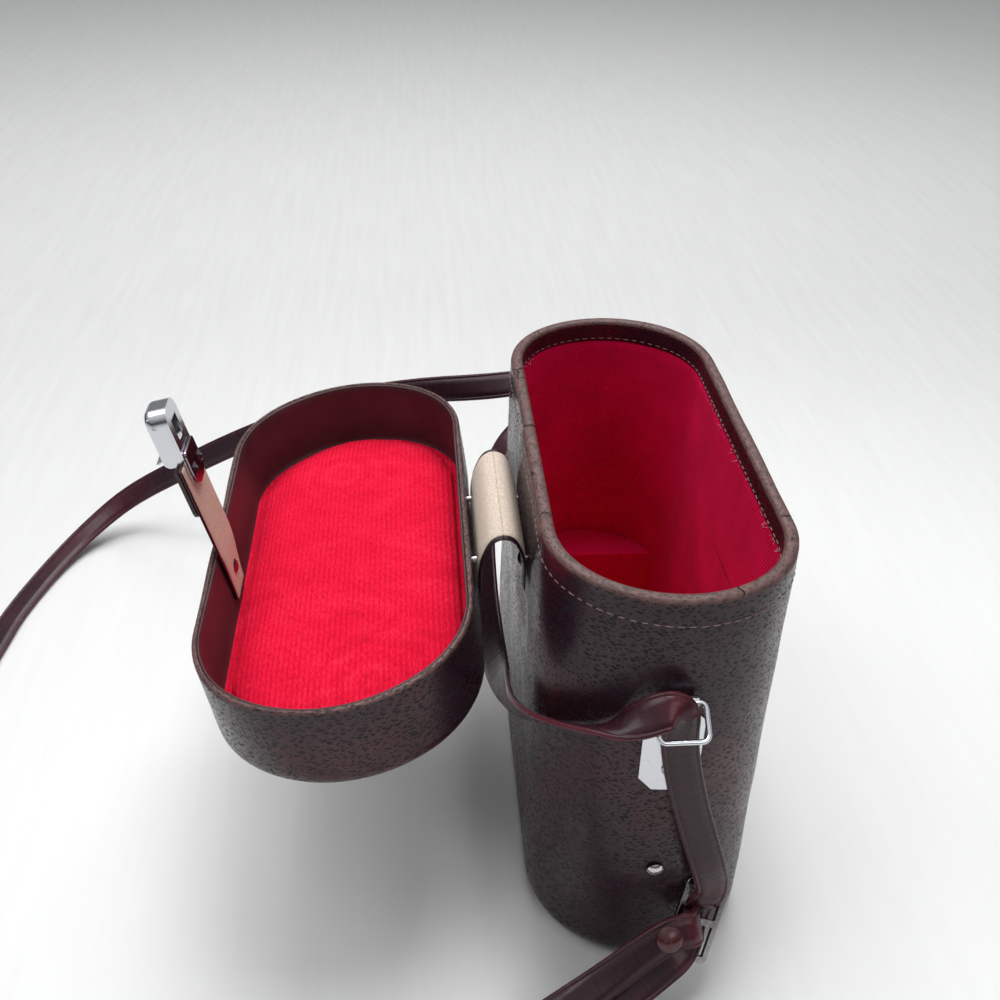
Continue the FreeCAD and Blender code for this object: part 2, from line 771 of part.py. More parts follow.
def make_lid():
    covering = s.lid_covering_thickness
    board_out = covering + s.glue_line
    board_in = board_out + s.lid_board_thickness
    facing_out = board_in + s.glue_line
    facing_in = facing_out + s.lid_facing_thickness

    body = rounded_lid("lid_covering", ZERO, lid_rim, s.lid_rim_round)
    hollow_out(body, "Hollow", rounded_lid("lid_covering_inside", covering,
                                           lid_rim + covering))
    lid_form(body, "TurnIn", facing_out, lid_rim + covering, lid_rim + s.lid_turn_in)
    mouth = [(facing_in - s.lid_rim_round, lid_rim - s.overrun)]
    mouth += rounding(facing_in, lid_rim, -s.lid_rim_round, rises=True)
    mouth.append((facing_in, lid_rim + s.lid_turn_in + s.overrun))
    stacked(body, "Mouth", lid_outline, mouth, adds=False)
    lid_holes(body, "Hole")
    open_lid(body)

    board_low = lid_rim + covering + s.glue_line
    body = rounded_lid("lid_board", board_out, board_low)
    hollow_out(body, "Hollow", rounded_lid("lid_board_inside", board_in,
                                           board_low - s.overrun))
    lid_holes(body, "Hole")
    open_lid(body)

    pad_low = lid_top - board_in - s.soft_gap - s.pad_thickness
    body = new_body("lid_facing")
    facing_low = lid_rim + s.lid_turn_in + s.glue_line
    facing_high = lid_top - s.lid_round
    lid_form(body, "Outside", facing_out, facing_low, facing_high)
    lid_form(body, "Hollow", facing_in, facing_low - s.overrun, facing_high + s.overrun,
             adds=False)
    lid_holes(body, "Hole")
    open_lid(body)

    make_lid_pad(facing_in + s.soft_gap, pad_low)
    make_lid_pad_board(board_in, facing_in)


def make_lid_pad_board(board_in, facing_in):
    """Stiff board that carries the pad and hides the rounded corner of the tray."""
    body = new_body("lid_pad_board")
    high = lid_top - board_in - s.glue_line
    lid_form(body, "Board", s.lid_round, high - s.lid_board_thickness, high)
    open_lid(body)


CROWN_SHARES = ((0.0, 0.0), (0.12, 0.34), (0.38, 0.66), (0.72, 0.88), (1.0, 1.0))


def make_lid_pad(inset, edge_level):
    """Corduroy pad: a crowned cushion, highest in its middle, that fills the lid's floor."""
    body = new_body("lid_pad")
    crown = [(inset + s.pad_shoulder * in_share, edge_level - s.pad_crown * rise_share)
             for in_share, rise_share in CROWN_SHARES]
    top = lid_top - s.lid_round
    stacked(body, "Crown", lid_outline, crown[::-1] + [(inset, top)])
    open_lid(body)


# The leather hinge

def hinge_leaf(label, outer_face, low):
    """The end of the hinge strap that is riveted flat to a wall."""
    body = new_body(label)
    sketch = new_sketch(body, "YZ_Plane", -(outer_face + s.glue_line))
    near = s.hinge_shift - s.hinge_width / 2
    far = s.hinge_shift + s.hinge_width / 2
    rectangle(sketch, (near, low), (far, low + s.hinge_leaf_length))
    pad(body, "Leaf", sketch, s.hinge_thickness, reverse=True)
    return body


def make_hinge():
    leaf = hinge_leaf("hinge_leaf_case", half_case, s.hinge_foot_level - s.hinge_leaf_length)
    lower = s.hinge_foot_level - s.hinge_leaf_length

    def low_corners(shape):
        return [f"Edge{index}" for index, edge in enumerate(shape.Edges, 1)
                if edge.BoundBox.ZMax < number(lower) + SAME
                and edge.BoundBox.XLength > number(s.hinge_thickness) / 2]

    round_edges(leaf, "Corners", s.hinge_leaf_round, low_corners)
    leaf_face = half_case + s.glue_line + s.hinge_thickness
    keep(pierced(leaf, "hinge_leaf_case", hinge_rivet_level, leaf_face + s.overrun))

    lid_face = half_case + lid_offset
    start = lid_rim + s.hinge_lid_start
    leaf = hinge_leaf("hinge_leaf_lid", lid_face, start)
    upper = start + s.hinge_leaf_length

    def high_corners(shape):
        return [f"Edge{index}" for index, edge in enumerate(shape.Edges, 1)
                if edge.BoundBox.ZMin > number(upper) - SAME
                and edge.BoundBox.XLength > number(s.hinge_thickness) / 2]

    round_edges(leaf, "Corners", s.hinge_leaf_round, high_corners)
    leaf_face_lid = lid_face + s.glue_line + s.hinge_thickness
    open_lid(pierced(leaf, "hinge_leaf_lid", lid_rivet_level, leaf_face_lid + s.overrun))

    grip = s.hinge_thickness + s.glue_line + board_back - s.glue_line
    heads = [(-(leaf_face + s.glue_line), across, hinge_rivet_level, FACING_BACK)
             for across in hinge_rivet_places]
    keep(rivet_row("hinge_rivets_case", grip, heads))
    grip = (s.hinge_thickness + s.glue_line * 2 + s.lid_covering_thickness
            + s.lid_board_thickness)
    heads = [(-(leaf_face_lid + s.glue_line), across, lid_rivet_level, FACING_BACK)
             for across in hinge_rivet_places]
    open_lid(rivet_row("hinge_rivets_lid", grip, heads))

    make_hinge_arch(start)


def pierced(body, label, level, depth):
    """The leaf with its rivet holes."""
    sketch = new_sketch(body, "YZ_Plane", -depth)
    for across in hinge_rivet_places:
        circle(sketch, (across, level), shank_hole)
    pad(body, "Holes", sketch, s.hinge_thickness + s.overrun * 2, reverse=True, kind="Pocket")
    body.Label = label
    return body


def make_hinge_arch(lid_start):
    """The free leather between the leaves, arched over the gap while the lid is open."""
    middle = s.glue_line + s.hinge_thickness / 2
    case_x = -(half_case + middle)
    shut_x = -(half_case + lid_offset + middle)
    reach_x = shut_x - hinge_x
    reach_z = lid_start - s.hinge_level
    lid_x = hinge_x + reach_x * cosine(s.open_angle) - reach_z * sine(s.open_angle)
    centre = (case_x + lid_x) / 2
    radius = (case_x - lid_x) / 2
    inner = radius - s.hinge_thickness / 2
    outer = radius + s.hinge_thickness / 2
    foot = s.hinge_foot_level + s.soft_gap
    body = new_body("hinge_arch")
    sketch = new_sketch(body, "XZ_Plane", -s.hinge_shift)
    upright = Vector(0, 0, 1)
    base = Vector(number(centre), number(foot), 0)
    for ring in (inner, outer):
        curve = Part.Circle(base, upright, number(ring))
        index = sketch.addGeometry(Part.ArcOfCircle(curve, 0, math.pi))
        pin_point(sketch, index, 3, (centre, foot))
        dimension(sketch, "Radius", (index,), ring)
    for end in (1, 2):
        side = 1 if end == 1 else -1
        first = base + Vector(side * number(inner), 0, 0)
        last = base + Vector(side * number(outer), 0, 0)
        index = sketch.addGeometry(Part.LineSegment(first, last))
        sketch.addConstraint(Sketcher.Constraint("Coincident", index, 1, 0, end))
        sketch.addConstraint(Sketcher.Constraint("Coincident", index, 2, 1, end))
        sketch.addConstraint(Sketcher.Constraint("Horizontal", index))
    pad(body, "Arch", sketch, s.hinge_width, symmetric=True)
    keep(body)


# The clasp strap and its metal clasp, drawn hanging straight down from the strap's hinge line

def lean_out(item):
    """Places a piece of the clasp strap: leant outwards at the shut lid's rim, then opened."""
    angle = s.open_angle
    far, up = cosine(angle), sine(angle)
    x = hinge_x + (tab_x - hinge_x) * far - (tab_hinge_z - s.hinge_level) * up
    z = s.hinge_level + (tab_x - hinge_x) * up + (tab_hinge_z - s.hinge_level) * far
    total = angle + s.tab_lean
    item.Placement = Placement(Vector(number(x), number(s.tab_shift), number(z)),
                               Rotation(Vector(0, -1, 0), number(total)))
    bind(item, "Placement.Base.x", x)
    bind(item, "Placement.Base.y", s.tab_shift)
    bind(item, "Placement.Base.z", z)
    bind(item, "Placement.Rotation.Angle", total)
    return keep(item)


def strip(label, width, start, end, face, thickness, start_round=None, end_round=None):
    """A flat strip of the clasp, across Y, hanging from start to end below the hinge line.

    face is where it starts along X, and the rounds are the radii of its two pairs of corners.
    """
    body = new_body(label)
    sketch = new_sketch(body, "YZ_Plane", face)
    half = width / 2
    rectangle(sketch, (-half, -end), (half, -start))
    pad(body, "Strip", sketch, thickness)
    for name, level, radius in (("StartRound", start, start_round), ("EndRound", end, end_round)):
        if radius is None:
            continue

        def corners(shape, level=level):
            picked = []
            for index, edge in enumerate(shape.Edges, 1):
                box = edge.BoundBox
                flat = abs(box.ZMin + number(level)) < SAME and box.ZLength < SAME
                if flat and box.YLength < SAME:
                    picked.append(f"Edge{index}")
            return picked

        round_edges(body, name, radius, corners)
    return body


def strip_hole(body, name, across, down, radius):
    sketch = new_sketch(body, "YZ_Plane", -s.lid_depth)
    for y in across:
        circle(sketch, (y, -down), radius)
    pad(body, name, sketch, s.lid_depth * 2, reverse=True, kind="Pocket")


def make_clasp_strap():
    half = s.tab_thickness / 2
    anchor = new_body("clasp_strap_anchor")
    sketch = new_sketch(anchor, "YZ_Plane", tab_face - s.tab_thickness - s.glue_line)
    near, far = s.tab_shift - s.tab_width / 2, s.tab_shift + s.tab_width / 2
    low, high = tab_hinge_z + s.tab_gap + half, lid_rim + s.tab_anchor_length
    middle = s.tab_shift
    point = s.tab_width / 3
    polygon(sketch, [(near, low), (far, low), (far, high - point), (middle, high),
                     (near, high - point)])
    pad(anchor, "Anchor", sketch, s.tab_thickness)
    bore = new_sketch(anchor, "YZ_Plane", half_case)
    circle(bore, (middle, lid_rim + s.tab_rivet_depth), shank_hole)
    pad(anchor, "Bore", bore, s.lid_clearance * 2, reverse=True, kind="Pocket")
    open_lid(anchor)

    heads = [(tab_face - s.tab_thickness - s.glue_line * 2, s.tab_shift,
              lid_rim + s.tab_rivet_depth, FACING_BACK)]
    grip = (s.tab_thickness + s.glue_line * 2 + s.lid_facing_thickness
            + s.lid_board_thickness + s.glue_line)
    open_lid(rivet_row("clasp_anchor_rivet", grip, heads))

    rivets_across = (-s.tab_width / 4, s.tab_width / 4)
    rivet_down = (s.clasp_plate_start + s.tab_length) / 2

    strap = strip("clasp_strap_blank", s.tab_width, ZERO, s.tab_length, -half, s.tab_thickness)
    strip_hole(strap, "Holes", rivets_across, rivet_down, shank_hole)
    nose = new_body("clasp_strap_edge")
    sketch = new_sketch(nose, "XZ_Plane")
    circle(sketch, (ZERO, ZERO), half)
    pad(nose, "Edge", sketch, s.tab_width, symmetric=True)
    lean_out(joined("Fuse", "clasp_strap", strap, nose))

    outer = strip("clasp_outer_layer", s.tab_width - s.tab_thickness, s.outer_layer_start,
                  s.outer_layer_end, half + s.glue_line, s.outer_layer_thickness,
                  start_round=s.tab_width / 6)
    strip_hole(outer, "Holes", rivets_across, rivet_down, shank_hole)
    lean_out(outer)

    plate_face = -(half + s.glue_line)
    plate = strip("clasp_plate", s.clasp_width, s.clasp_plate_start, s.clasp_end,
                  plate_face - s.clasp_plate_thickness, s.clasp_plate_thickness,
                  end_round=s.clasp_width / 3)
    strip_hole(plate, "Holes", rivets_across, rivet_down, shank_hole)
    window = new_sketch(plate, "YZ_Plane", -s.lid_depth)
    rectangle(window, (-s.window_width / 2, -s.window_end), (s.window_width / 2, -s.window_start))
    pad(plate, "Window", window, s.lid_depth * 2, reverse=True, kind="Pocket")
    lean_out(plate)

    tongue_face = plate_face - s.clasp_plate_thickness - s.glue_line
    tongue = strip("clasp_tongue", s.tongue_width, s.tongue_start, s.tongue_end,
                   tongue_face - s.tongue_thickness, s.tongue_thickness,
                   start_round=s.tongue_width / 3, end_round=s.tongue_width / 8)
    strip_hole(tongue, "Holes", rivets_across, rivet_down, shank_hole)
    lean_out(tongue)
    make_clasp_rivets(tongue_face - s.tongue_thickness, rivets_across, rivet_down)
    make_housing(plate_face)


def make_clasp_rivets(inner_face, across, down):
    """Rivets with faceted, pointed heads that hold the strap's layers to the clasp."""
    rivets = []
    far_face = s.tab_thickness / 2 + s.glue_line + s.outer_layer_thickness
    grip = far_face - inner_face
    for index, y in enumerate(across, 1):
        body = new_body(f"clasp_rivet_{index}")
        side = s.rivet_head_radius * 0.9
        base = new_sketch(body, "YZ_Plane", inner_face - s.glue_line)
        rectangle(base, (y - side, -down - side), (y + side, -down + side))
        tip = new_sketch(body, "YZ_Plane", inner_face - s.glue_line - s.rivet_head_height)
        small = side / 8
        rectangle(tip, (y - small, -down - small), (y + small, -down + small))
        feature(body, "AdditiveLoft", "Head", Profile=base, Sections=[tip], Ruled=True)
        shank = new_sketch(body, "YZ_Plane", inner_face - s.glue_line)
        circle(shank, (y, -down), s.rivet_shank_radius)
        pad(body, "Shank", shank, grip + s.glue_line * 2)
        cap = new_sketch(body, "YZ_Plane", far_face + s.glue_line)
        circle(cap, (y, -down), s.rivet_head_radius * 0.7)
        pad(body, "Cap", cap, s.glue_line * 4)
        rivets.append(body)
    lean_out(together("clasp_rivets", rivets))


def make_housing(plate_face):
    """Domed shell over the plate, with its thumb lever, the lever's pin and its spring."""
    body = strip("clasp_housing", s.clasp_width, s.housing_start, s.clasp_end, plate_face,
                 s.housing_depth, end_round=s.clasp_width / 3)

    def outer_rim(shape):
        return edges_at(shape, 0, plate_face + s.housing_depth)

    round_edges(body, "Dome", s.housing_round, outer_rim)
    inner = new_sketch(body, "YZ_Plane", plate_face)
    hollow_half = s.clasp_width / 2 - s.housing_wall * 2
    hollow_low = -(s.clasp_end - s.housing_wall * 3)
    rectangle(inner, (-hollow_half, hollow_low), (hollow_half, -(s.housing_start - s.overrun)))
    pad(body, "Hollow", inner, s.housing_depth - s.housing_wall, reverse=True, kind="Pocket")
    slot = new_sketch(body, "YZ_Plane", plate_face)
    slot_half = s.lever_width / 2 + s.lever_gap
    pin_down = s.lever_pin_place
    rectangle(slot, (-slot_half, -(pin_down + s.lever_boss_radius + s.lever_gap)),
              (slot_half, -(s.housing_start - s.overrun)))
    pad(body, "LeverSlot", slot, s.housing_depth + s.overrun, reverse=True, kind="Pocket")
    pin_x = plate_face - s.clasp_plate_thickness + s.lever_pin_depth
    bore = new_sketch(body, "XZ_Plane")
    circle(bore, (pin_x, -pin_down), s.lever_pin_radius)
    pad(body, "PinBore", bore, s.clasp_width + s.overrun, symmetric=True, kind="Pocket")
    lean_out(body)

    pin = new_body("clasp_lever_pin")
    sketch = new_sketch(pin, "XZ_Plane")
    circle(sketch, (pin_x, -pin_down), s.lever_pin_radius - s.eye_clearance / 6)
    pad(pin, "Pin", sketch, s.clasp_width - s.housing_wall / 2, symmetric=True)
    lean_out(pin)
    make_lever(pin_x, pin_down, plate_face)


def make_lever(pin_x, pin_down, plate_face):
    """Thumb lever: a boss on the pin, an arm over the housing, a lip and a holding nose."""
    top = plate_face + s.housing_depth
    body = new_body("clasp_lever")
    arm_low = top - s.lever_thickness
    end = pin_down - s.lever_reach
    profile = new_sketch(body, "XZ_Plane")
    polygon(profile, [
        (arm_low, -pin_down),
        (top, -pin_down),
        (top, -(end + s.lever_lip / 2)),
        (top + s.lever_lip, -end),
        (top + s.lever_lip - s.lever_thickness, -(end - s.lever_thickness / 2)),
        (arm_low, -(end + s.lever_lip / 2 - s.lever_thickness / 2)),
    ])
    pad(body, "Arm", profile, s.lever_width, symmetric=True)
    boss = new_sketch(body, "XZ_Plane")
    circle(boss, (pin_x, -pin_down), s.lever_boss_radius)
    pad(body, "Boss", boss, s.lever_width, symmetric=True)
    nose_down = pin_down - s.nose_place
    nose = new_sketch(body, "XZ_Plane")
    polygon(nose, [
        (arm_low - s.nose_length, -nose_down),
        (arm_low + s.lever_thickness / 2, -(nose_down + s.lever_thickness)),
        (arm_low + s.lever_thickness / 2, -(nose_down - s.lever_thickness)),
        (arm_low - s.nose_length, -(nose_down - s.lever_thickness)),
    ])
    pad(body, "Nose", nose, s.window_width - s.overrun, symmetric=True)
    bore = new_sketch(body, "XZ_Plane")
    circle(bore, (pin_x, -pin_down), s.lever_pin_radius + s.eye_clearance / 3)
    pad(body, "Bore", bore, s.clasp_width, symmetric=True, kind="Pocket")
    lean_out(body)

    spring = new_body("clasp_lever_spring")
    sketch = new_sketch(spring, "XZ_Plane")
    floor = plate_face + s.glue_line
    roof = arm_low - s.soft_gap
    wire = s.spring_wire
    start = s.housing_start + s.overrun
    bend = s.window_start - s.overrun / 2
    polygon(sketch, [
        (floor, -start), (floor + wire, -start), (floor + wire, -(bend - wire)),
        (roof, -(start + wire * 2)), (roof, -(start + wire * 4)), (floor, -bend),
    ])
    pad(spring, "Leaf", sketch, s.lever_width - s.overrun * 2, symmetric=True)
    lean_out(spring)


# The catch on the front of the case

def make_catch():
    """Base plate on the case with a post whose hooked head enters the clasp's window."""
    plate = new_body("catch_plate")
    face = half_case + s.glue_line
    sketch = new_sketch(plate, "YZ_Plane", face)
    half = s.catch_plate_width / 2
    rise = s.catch_plate_height / 2
    rectangle(sketch, (s.tab_shift - half, catch_level - rise),
              (s.tab_shift + half, catch_level + rise))
    pad(plate, "Plate", sketch, s.catch_plate_thickness)

    def uprights(shape):
        return [f"Edge{index}" for index, edge in enumerate(shape.Edges, 1)
                if edge.BoundBox.YLength < SAME and edge.BoundBox.ZLength < SAME]

    round_edges(plate, "Corners", s.catch_plate_corner, uprights)
    holes = new_sketch(plate, "YZ_Plane", face - s.overrun)
    for side in (-1, 1):
        circle(holes, (s.tab_shift, catch_level + s.catch_rivet_spacing / 2 * side), shank_hole)
    pad(plate, "Holes", holes, s.catch_plate_thickness + s.overrun * 2, reverse=True,
        kind="Pocket")
    keep(plate)

    window_down = (s.window_start + s.window_end) / 2
    inner = -(s.tab_thickness / 2 + s.glue_line + s.clasp_plate_thickness)
    plane = tab_x + window_down * sine(s.tab_lean) + inner * cosine(s.tab_lean)
    post = new_body("catch_post")
    foot = face + s.catch_plate_thickness + s.glue_line
    sketch = new_sketch(post, "YZ_Plane", foot)
    half = s.catch_post_width / 2
    rise = s.catch_post_height / 2
    rectangle(sketch, (s.tab_shift - half, catch_level - rise),
              (s.tab_shift + half, catch_level + rise))
    length = plane + s.clasp_plate_thickness + s.catch_head_thickness - foot
    pad(post, "Post", sketch, length)
    head = new_sketch(post, "YZ_Plane", foot + length)
    rectangle(head, (s.tab_shift - half, catch_level - rise),
              (s.tab_shift + half, catch_level - rise + s.catch_head_height))
    pad(post, "Head", head, s.catch_head_thickness)
    keep(post)

    heads = [(face + s.catch_plate_thickness + s.glue_line, s.tab_shift,
              catch_level + s.catch_rivet_spacing / 2 * side, FACING_FRONT) for side in (-1, 1)]
    grip = s.catch_plate_thickness + s.glue_line + board_back - s.glue_line
    keep(rivet_row("catch_rivets", grip, heads))


# The shoulder strap: each stretch is a core that runs along the middle of the flat strap

# Places are in millimetres
ROUTES = {
    "strap_from_buckle": [
        (15, -115.2, 31.3), (14.4, -119.8, 33.8), (6, -120.3, 33.6), (-3.5, -122.8, 28.5),
        (-16, -127.5, 21.5), (-33, -133.8, 13.5), (-54, -141.7, 6.2), (-80, -150, 1.5),
        (-115, -157, 1.5), (-132.5, -157.5, 1.5)],
    "strap_on_floor": [
        (-132.5, -157.5, 1.5), (-150, -158, 1.5), (-196, -153, 1.5), (-238, -130, 1.5),
        (-269, -95, 1.5), (-288, -49, 1.5), (-296, 1, 1.5), (-297, 52, 1.5), (-294.5, 75, 1.5)],
    "strap_over_shoulder": [
        (-294.5, 75, 1.5), (-292, 98, 1.5), (-280, 139, 2.5), (-264, 161, 10),
        (-243.8, 169.6, 23.3), (-211.8, 160.6, 46.1), (-182, 153, 66), (-150.7, 143.8, 84.7),
        (-116, 136, 103), (-80, 121.5, 116.5), (-50, 110.5, 124),
        (-28, 106.5, 129), (-14, 105.7, 132.5), (-5, 105.7, 133.5), (-1, 105.7, 130),
        (-1, 105.7, 126.5)],
    "strap_behind_case": [
        (-1, 105.7, 126.5), (-1, 105.7, 120.5), (-8, 105.9, 114), (-20, 105, 110.5),
        (-33, 99, 107.5), (-44, 85.5, 102.5), (-51, 66, 94.5), (-54, 42, 85),
        (-54.5, 16, 78), (-54, -10, 75.5), (-52.5, -35, 79), (-50, -57, 88.5),
        (-46.5, -75, 101), (-39, -90, 111.5), (-28, -100.5, 119), (-15, -105.5, 128),
        (-5, -105.7, 133.5), (-1, -105.7, 130), (-1, -105.7, 126.5)],
    "strap_down_end": [
        (-1, -105.7, 126.5), (-1, -105.7, 119), (2, -106.5, 104), (7, -107.5, 86),
        (12.5, -109, 69), (17.3, -110.6, 54.5), (20.4, -109.8, 43.3), (18, -111.1, 36.5),
        (16.1, -109, 30.8), (13.6, -111.6, 26), (11.5, -117.8, 25.4), (6.9, -123.7, 24.2),
        (0.94, -125.9, 19.8)],
    "strap_tail": [
        (0.94, -125.9, 19.8), (-8, -129.2, 13.2), (-22, -134, 7.6), (-38, -139.5, 3.4),
        (-56, -146, 1.5)],
}


def core_path(points):
    """Straight runs joined by tangent arcs, each as large as its two runs allow."""
    spots = [Vector(*point) for point in points]
    edges = []
    radii = []
    here = spots[0]
    for index in range(1, len(spots) - 1):
        before = spots[index - 1] - spots[index]
        after = spots[index + 1] - spots[index]
        run = min(before.Length, after.Length) * ARC_SHARE
        before.normalize()
        after.normalize()
        half = before.getAngle(after) / 2
        radius = run * math.tan(half)
        radii.append(radius)
        bisector = (before + after).normalize()
        middle = spots[index] + bisector * (radius / math.sin(half) - radius)
        first = spots[index] + before * run
        last = spots[index] + after * run
        edges.append(Part.LineSegment(here, first).toShape())
        edges.append(Part.Arc(first, middle, last).toShape())
        here = last
    edges.append(Part.LineSegment(here, spots[-1]).toShape())
    return Part.Wire(edges), radii


def make_strap():
    for label, points in ROUTES.items():
        path, radii = core_path(points)
        start = path.Edges[0]
        direction = start.tangentAt(start.FirstParameter)
        ring = Part.Circle(Vector(*points[0]), direction, number(s.strap_core_radius))
        tube = path.makePipeShell([Part.Wire(ring.toShape())], True, False)
        item = doc.addObject("Part::Feature", "Strap")
        item.Label = label
        item.Shape = tube
        keep(item)
        ideal = math.pi * number(s.strap_core_radius) ** 2 * path.Length
        print(f"{label}: length {path.Length:.1f} mm, least radius {min(radii):.1f} mm, "
              f"volume share {tube.Volume / ideal:.4f}")
        print("  radii", " ".join(f"{radius:.0f}" for radius in radii))


# The slide buckle leans against the near end, low down, where the strap leaves it
BUCKLE_PLACE = (14.9, -114.3, 30.8)
BUCKLE_DOWN = (-0.3374, -0.5231, -0.7826)
BUCKLE_ACROSS = (-0.9291, 0.0512, 0.3663)
CAP_PLACE = (3.2, -121.1, 31.9)
CAP_FACING = (-0.041, -0.804, 0.594)


def make_buckle():
    """Slide buckle with three bars, and the rivet cap that closes the strap's end."""
    body = new_body("strap_buckle")
    half_length, half_width = s.buckle_length / 2, s.buckle_width / 2
    sketch = new_sketch(body, "XY_Plane")
    rectangle(sketch, (-half_length, -half_width), (half_length, half_width))
    pad(body, "Frame", sketch, s.buckle_thickness, symmetric=True)

    def uprights(shape):
        return [f"Edge{index}" for index, edge in enumerate(shape.Edges, 1)
                if edge.BoundBox.XLength < SAME and edge.BoundBox.YLength < SAME]

    round_edges(body, "Corners", s.buckle_round, uprights)
    slots = new_sketch(body, "XY_Plane", -s.overrun)
    edge = half_width - s.buckle_bar * 0.8
    for side in (-1, 1):
        low = s.buckle_bar / 2
        high = half_length - s.buckle_bar
        if side < 0:
            low, high = -high, -low
        rectangle(slots, (low, -edge), (high, edge))
    pad(body, "Slots", slots, s.overrun * 2, reverse=True, kind="Pocket")
    down, across = Vector(*BUCKLE_DOWN), Vector(*BUCKLE_ACROSS)
    turn = Rotation(down, across, Vector(0, 0, 0), "XYZ")
    body.Placement = Placement(Vector(*BUCKLE_PLACE), turn)
    keep(body)

    shank = s.strap_thickness / 4
    cap = domed_rivet("strap_end_rivet", shank, s.strap_cap_radius, s.strap_cap_height)
    facing = Vector(*CAP_FACING)
    lift = s.strap_core_radius + s.soft_gap / 2 + shank
    spot = Vector(*CAP_PLACE) + facing * number(lift)
    cap.Placement = Placement(spot, Rotation(Vector(0, 0, 1), facing))
    keep(cap)


make_case()
make_hinge()
make_lid()
make_clasp_strap()
make_catch()
make_end_fittings()
make_strap()
make_buckle()
doc.recompute()

# Every object is sound before anything is written
faults = [f"{item.Label}: {item.State}" for item in doc.Objects
          if {"Invalid", "Error"} & set(item.State)]
for node in nodes:
    shape = node.Shape
    if shape.isNull() or not shape.isValid() or shape.Volume <= 0:
        faults.append(f"{node.Label}: the shape is empty or not valid")
if faults:
    sys.exit("\n".join(faults))

os.makedirs("parts", exist_ok=True)
for node in nodes:
    node.Shape.exportStep(f"parts/{node.Label}.step")
print(len(nodes), "nodes written")
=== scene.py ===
import math
import random

import bmesh
import bpy
from mathutils import Matrix, Vector, noise
from mathutils.bvhtree import BVHTree


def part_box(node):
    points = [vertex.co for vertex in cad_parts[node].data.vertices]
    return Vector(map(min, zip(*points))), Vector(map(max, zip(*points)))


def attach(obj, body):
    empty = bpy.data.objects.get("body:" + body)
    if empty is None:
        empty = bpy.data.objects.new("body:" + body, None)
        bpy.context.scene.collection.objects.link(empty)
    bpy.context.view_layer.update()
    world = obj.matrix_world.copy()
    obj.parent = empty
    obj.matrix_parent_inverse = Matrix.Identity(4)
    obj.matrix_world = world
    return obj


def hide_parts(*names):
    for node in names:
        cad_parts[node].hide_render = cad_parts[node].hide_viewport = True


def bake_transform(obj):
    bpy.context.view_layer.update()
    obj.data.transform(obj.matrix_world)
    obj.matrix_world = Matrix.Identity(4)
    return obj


bl_info = {
    "name": "Binocular hard case",
    "version": (1, 0, 0),
    "blender": (4, 5, 0),
    "location": "3D View > Sidebar > Hard case",
    "description": "Dresses a stiff, lined binocular case with a hinged lid, a clasp and a shoulder strap",
    "category": "Add Mesh",
}

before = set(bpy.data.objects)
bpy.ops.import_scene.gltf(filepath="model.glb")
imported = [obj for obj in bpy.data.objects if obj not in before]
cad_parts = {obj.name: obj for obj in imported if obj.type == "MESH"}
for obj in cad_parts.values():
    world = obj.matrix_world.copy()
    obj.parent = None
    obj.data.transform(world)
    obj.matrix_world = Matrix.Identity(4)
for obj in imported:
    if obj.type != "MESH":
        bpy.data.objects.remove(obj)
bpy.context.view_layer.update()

MM = 0.001

# Case and lid, in millimetres
CASE_HEIGHT = 168.0
CASE_HALF_DEPTH = 42.5
CASE_HALF_WIDTH_TOP = 95.0
CASE_SPREAD = 16.0
CASE_SIDE_RADIUS = 38.2
CASE_END_RADIUS = 46.0
BASE_ROUND = 9.0
RIM_ROUND = 1.7
WALL = 4.2
SHELL_WALL = 3.4
TURN_IN_PROUD = 0.5
TURN_IN_LEVEL = 158.0
FLOOR_LEVEL = 4.6
LINING_EDGE = 157.3
LINING_TOP = 157.8
SEAM_Y = 5.5
SEAM_SIDE_X = -36
SEAM_HALF_WIDTH = 1.3
LAP_PROUD = 0.8
LAP_FADE = 38.0
LAP_LEVEL = 111.0
ARCH_SPRING = 138.0
DENT_X = -9
DENT_LEVEL = 139
DENT_HALF_WIDTH = 13.0
DENT_HALF_HEIGHT = 17.0
DENT_DEPTH = 1.9
PUCKER = 0.42
PUCKER_PIT = 0.5
PUCKER_REACH = 26

LID_RIM_LEVEL = 158.0
LID_TOP_LEVEL = 196.0
LID_HALF_DEPTH = 48.5
LID_HALF_WIDTH = 101.0
LID_SIDE_RADIUS = 44.2
LID_END_RADIUS = 52.0
LID_ROUND = 8.0
LID_WALL = 2.8
LID_SHELL_WALL = 1.9
LID_PAD_LEVEL = 190.5
LID_PAD_GAP = 3.3
LID_SEAM_Y = 21
LID_SEAM_HALF_WIDTH = 1.2
PIVOT_X = -56.9
PIVOT_Z = 149.0
OPEN_ANGLE = math.radians(187.7)

# Clasp: where its strap bends at the lid's rim, and how much its metal shrinks beyond the strap's foot
CLASP_ORIGIN = (-156.678, -5.0, 127.941)
CLASP_ANGLE = math.radians(192.7)
CLASP_HALF_WIDTH = 11.5
CLASP_STRAP_THICKNESS = 1.8
CLASP_FOOT = 33.0
CLASP_NARROWER = 0.72
CLASP_SHORTER = 0.2
CATCH_FOOT_LEVEL = 123.5
CAP_WIDER = 1.3

# Rim sewing and the cloth's lap
OUTSIDE_SEAM_DROP = 9.5
INSIDE_SEAM_RISE = 1.5
LAP_RAGGEDNESS = 0.0035
CLOTH_WEAVE = 0.0012
WEAVE_SLANT = (0, 0, math.radians(38))
PORE_SLANT = (0, 0, math.radians(-32))
CORDUROY_RINGS = (((0.006, 0.058, 0), 0.010, 0.030), ((-0.010, -0.070, 0), 0.014, 0.038))
RING_STEP = 0.0085

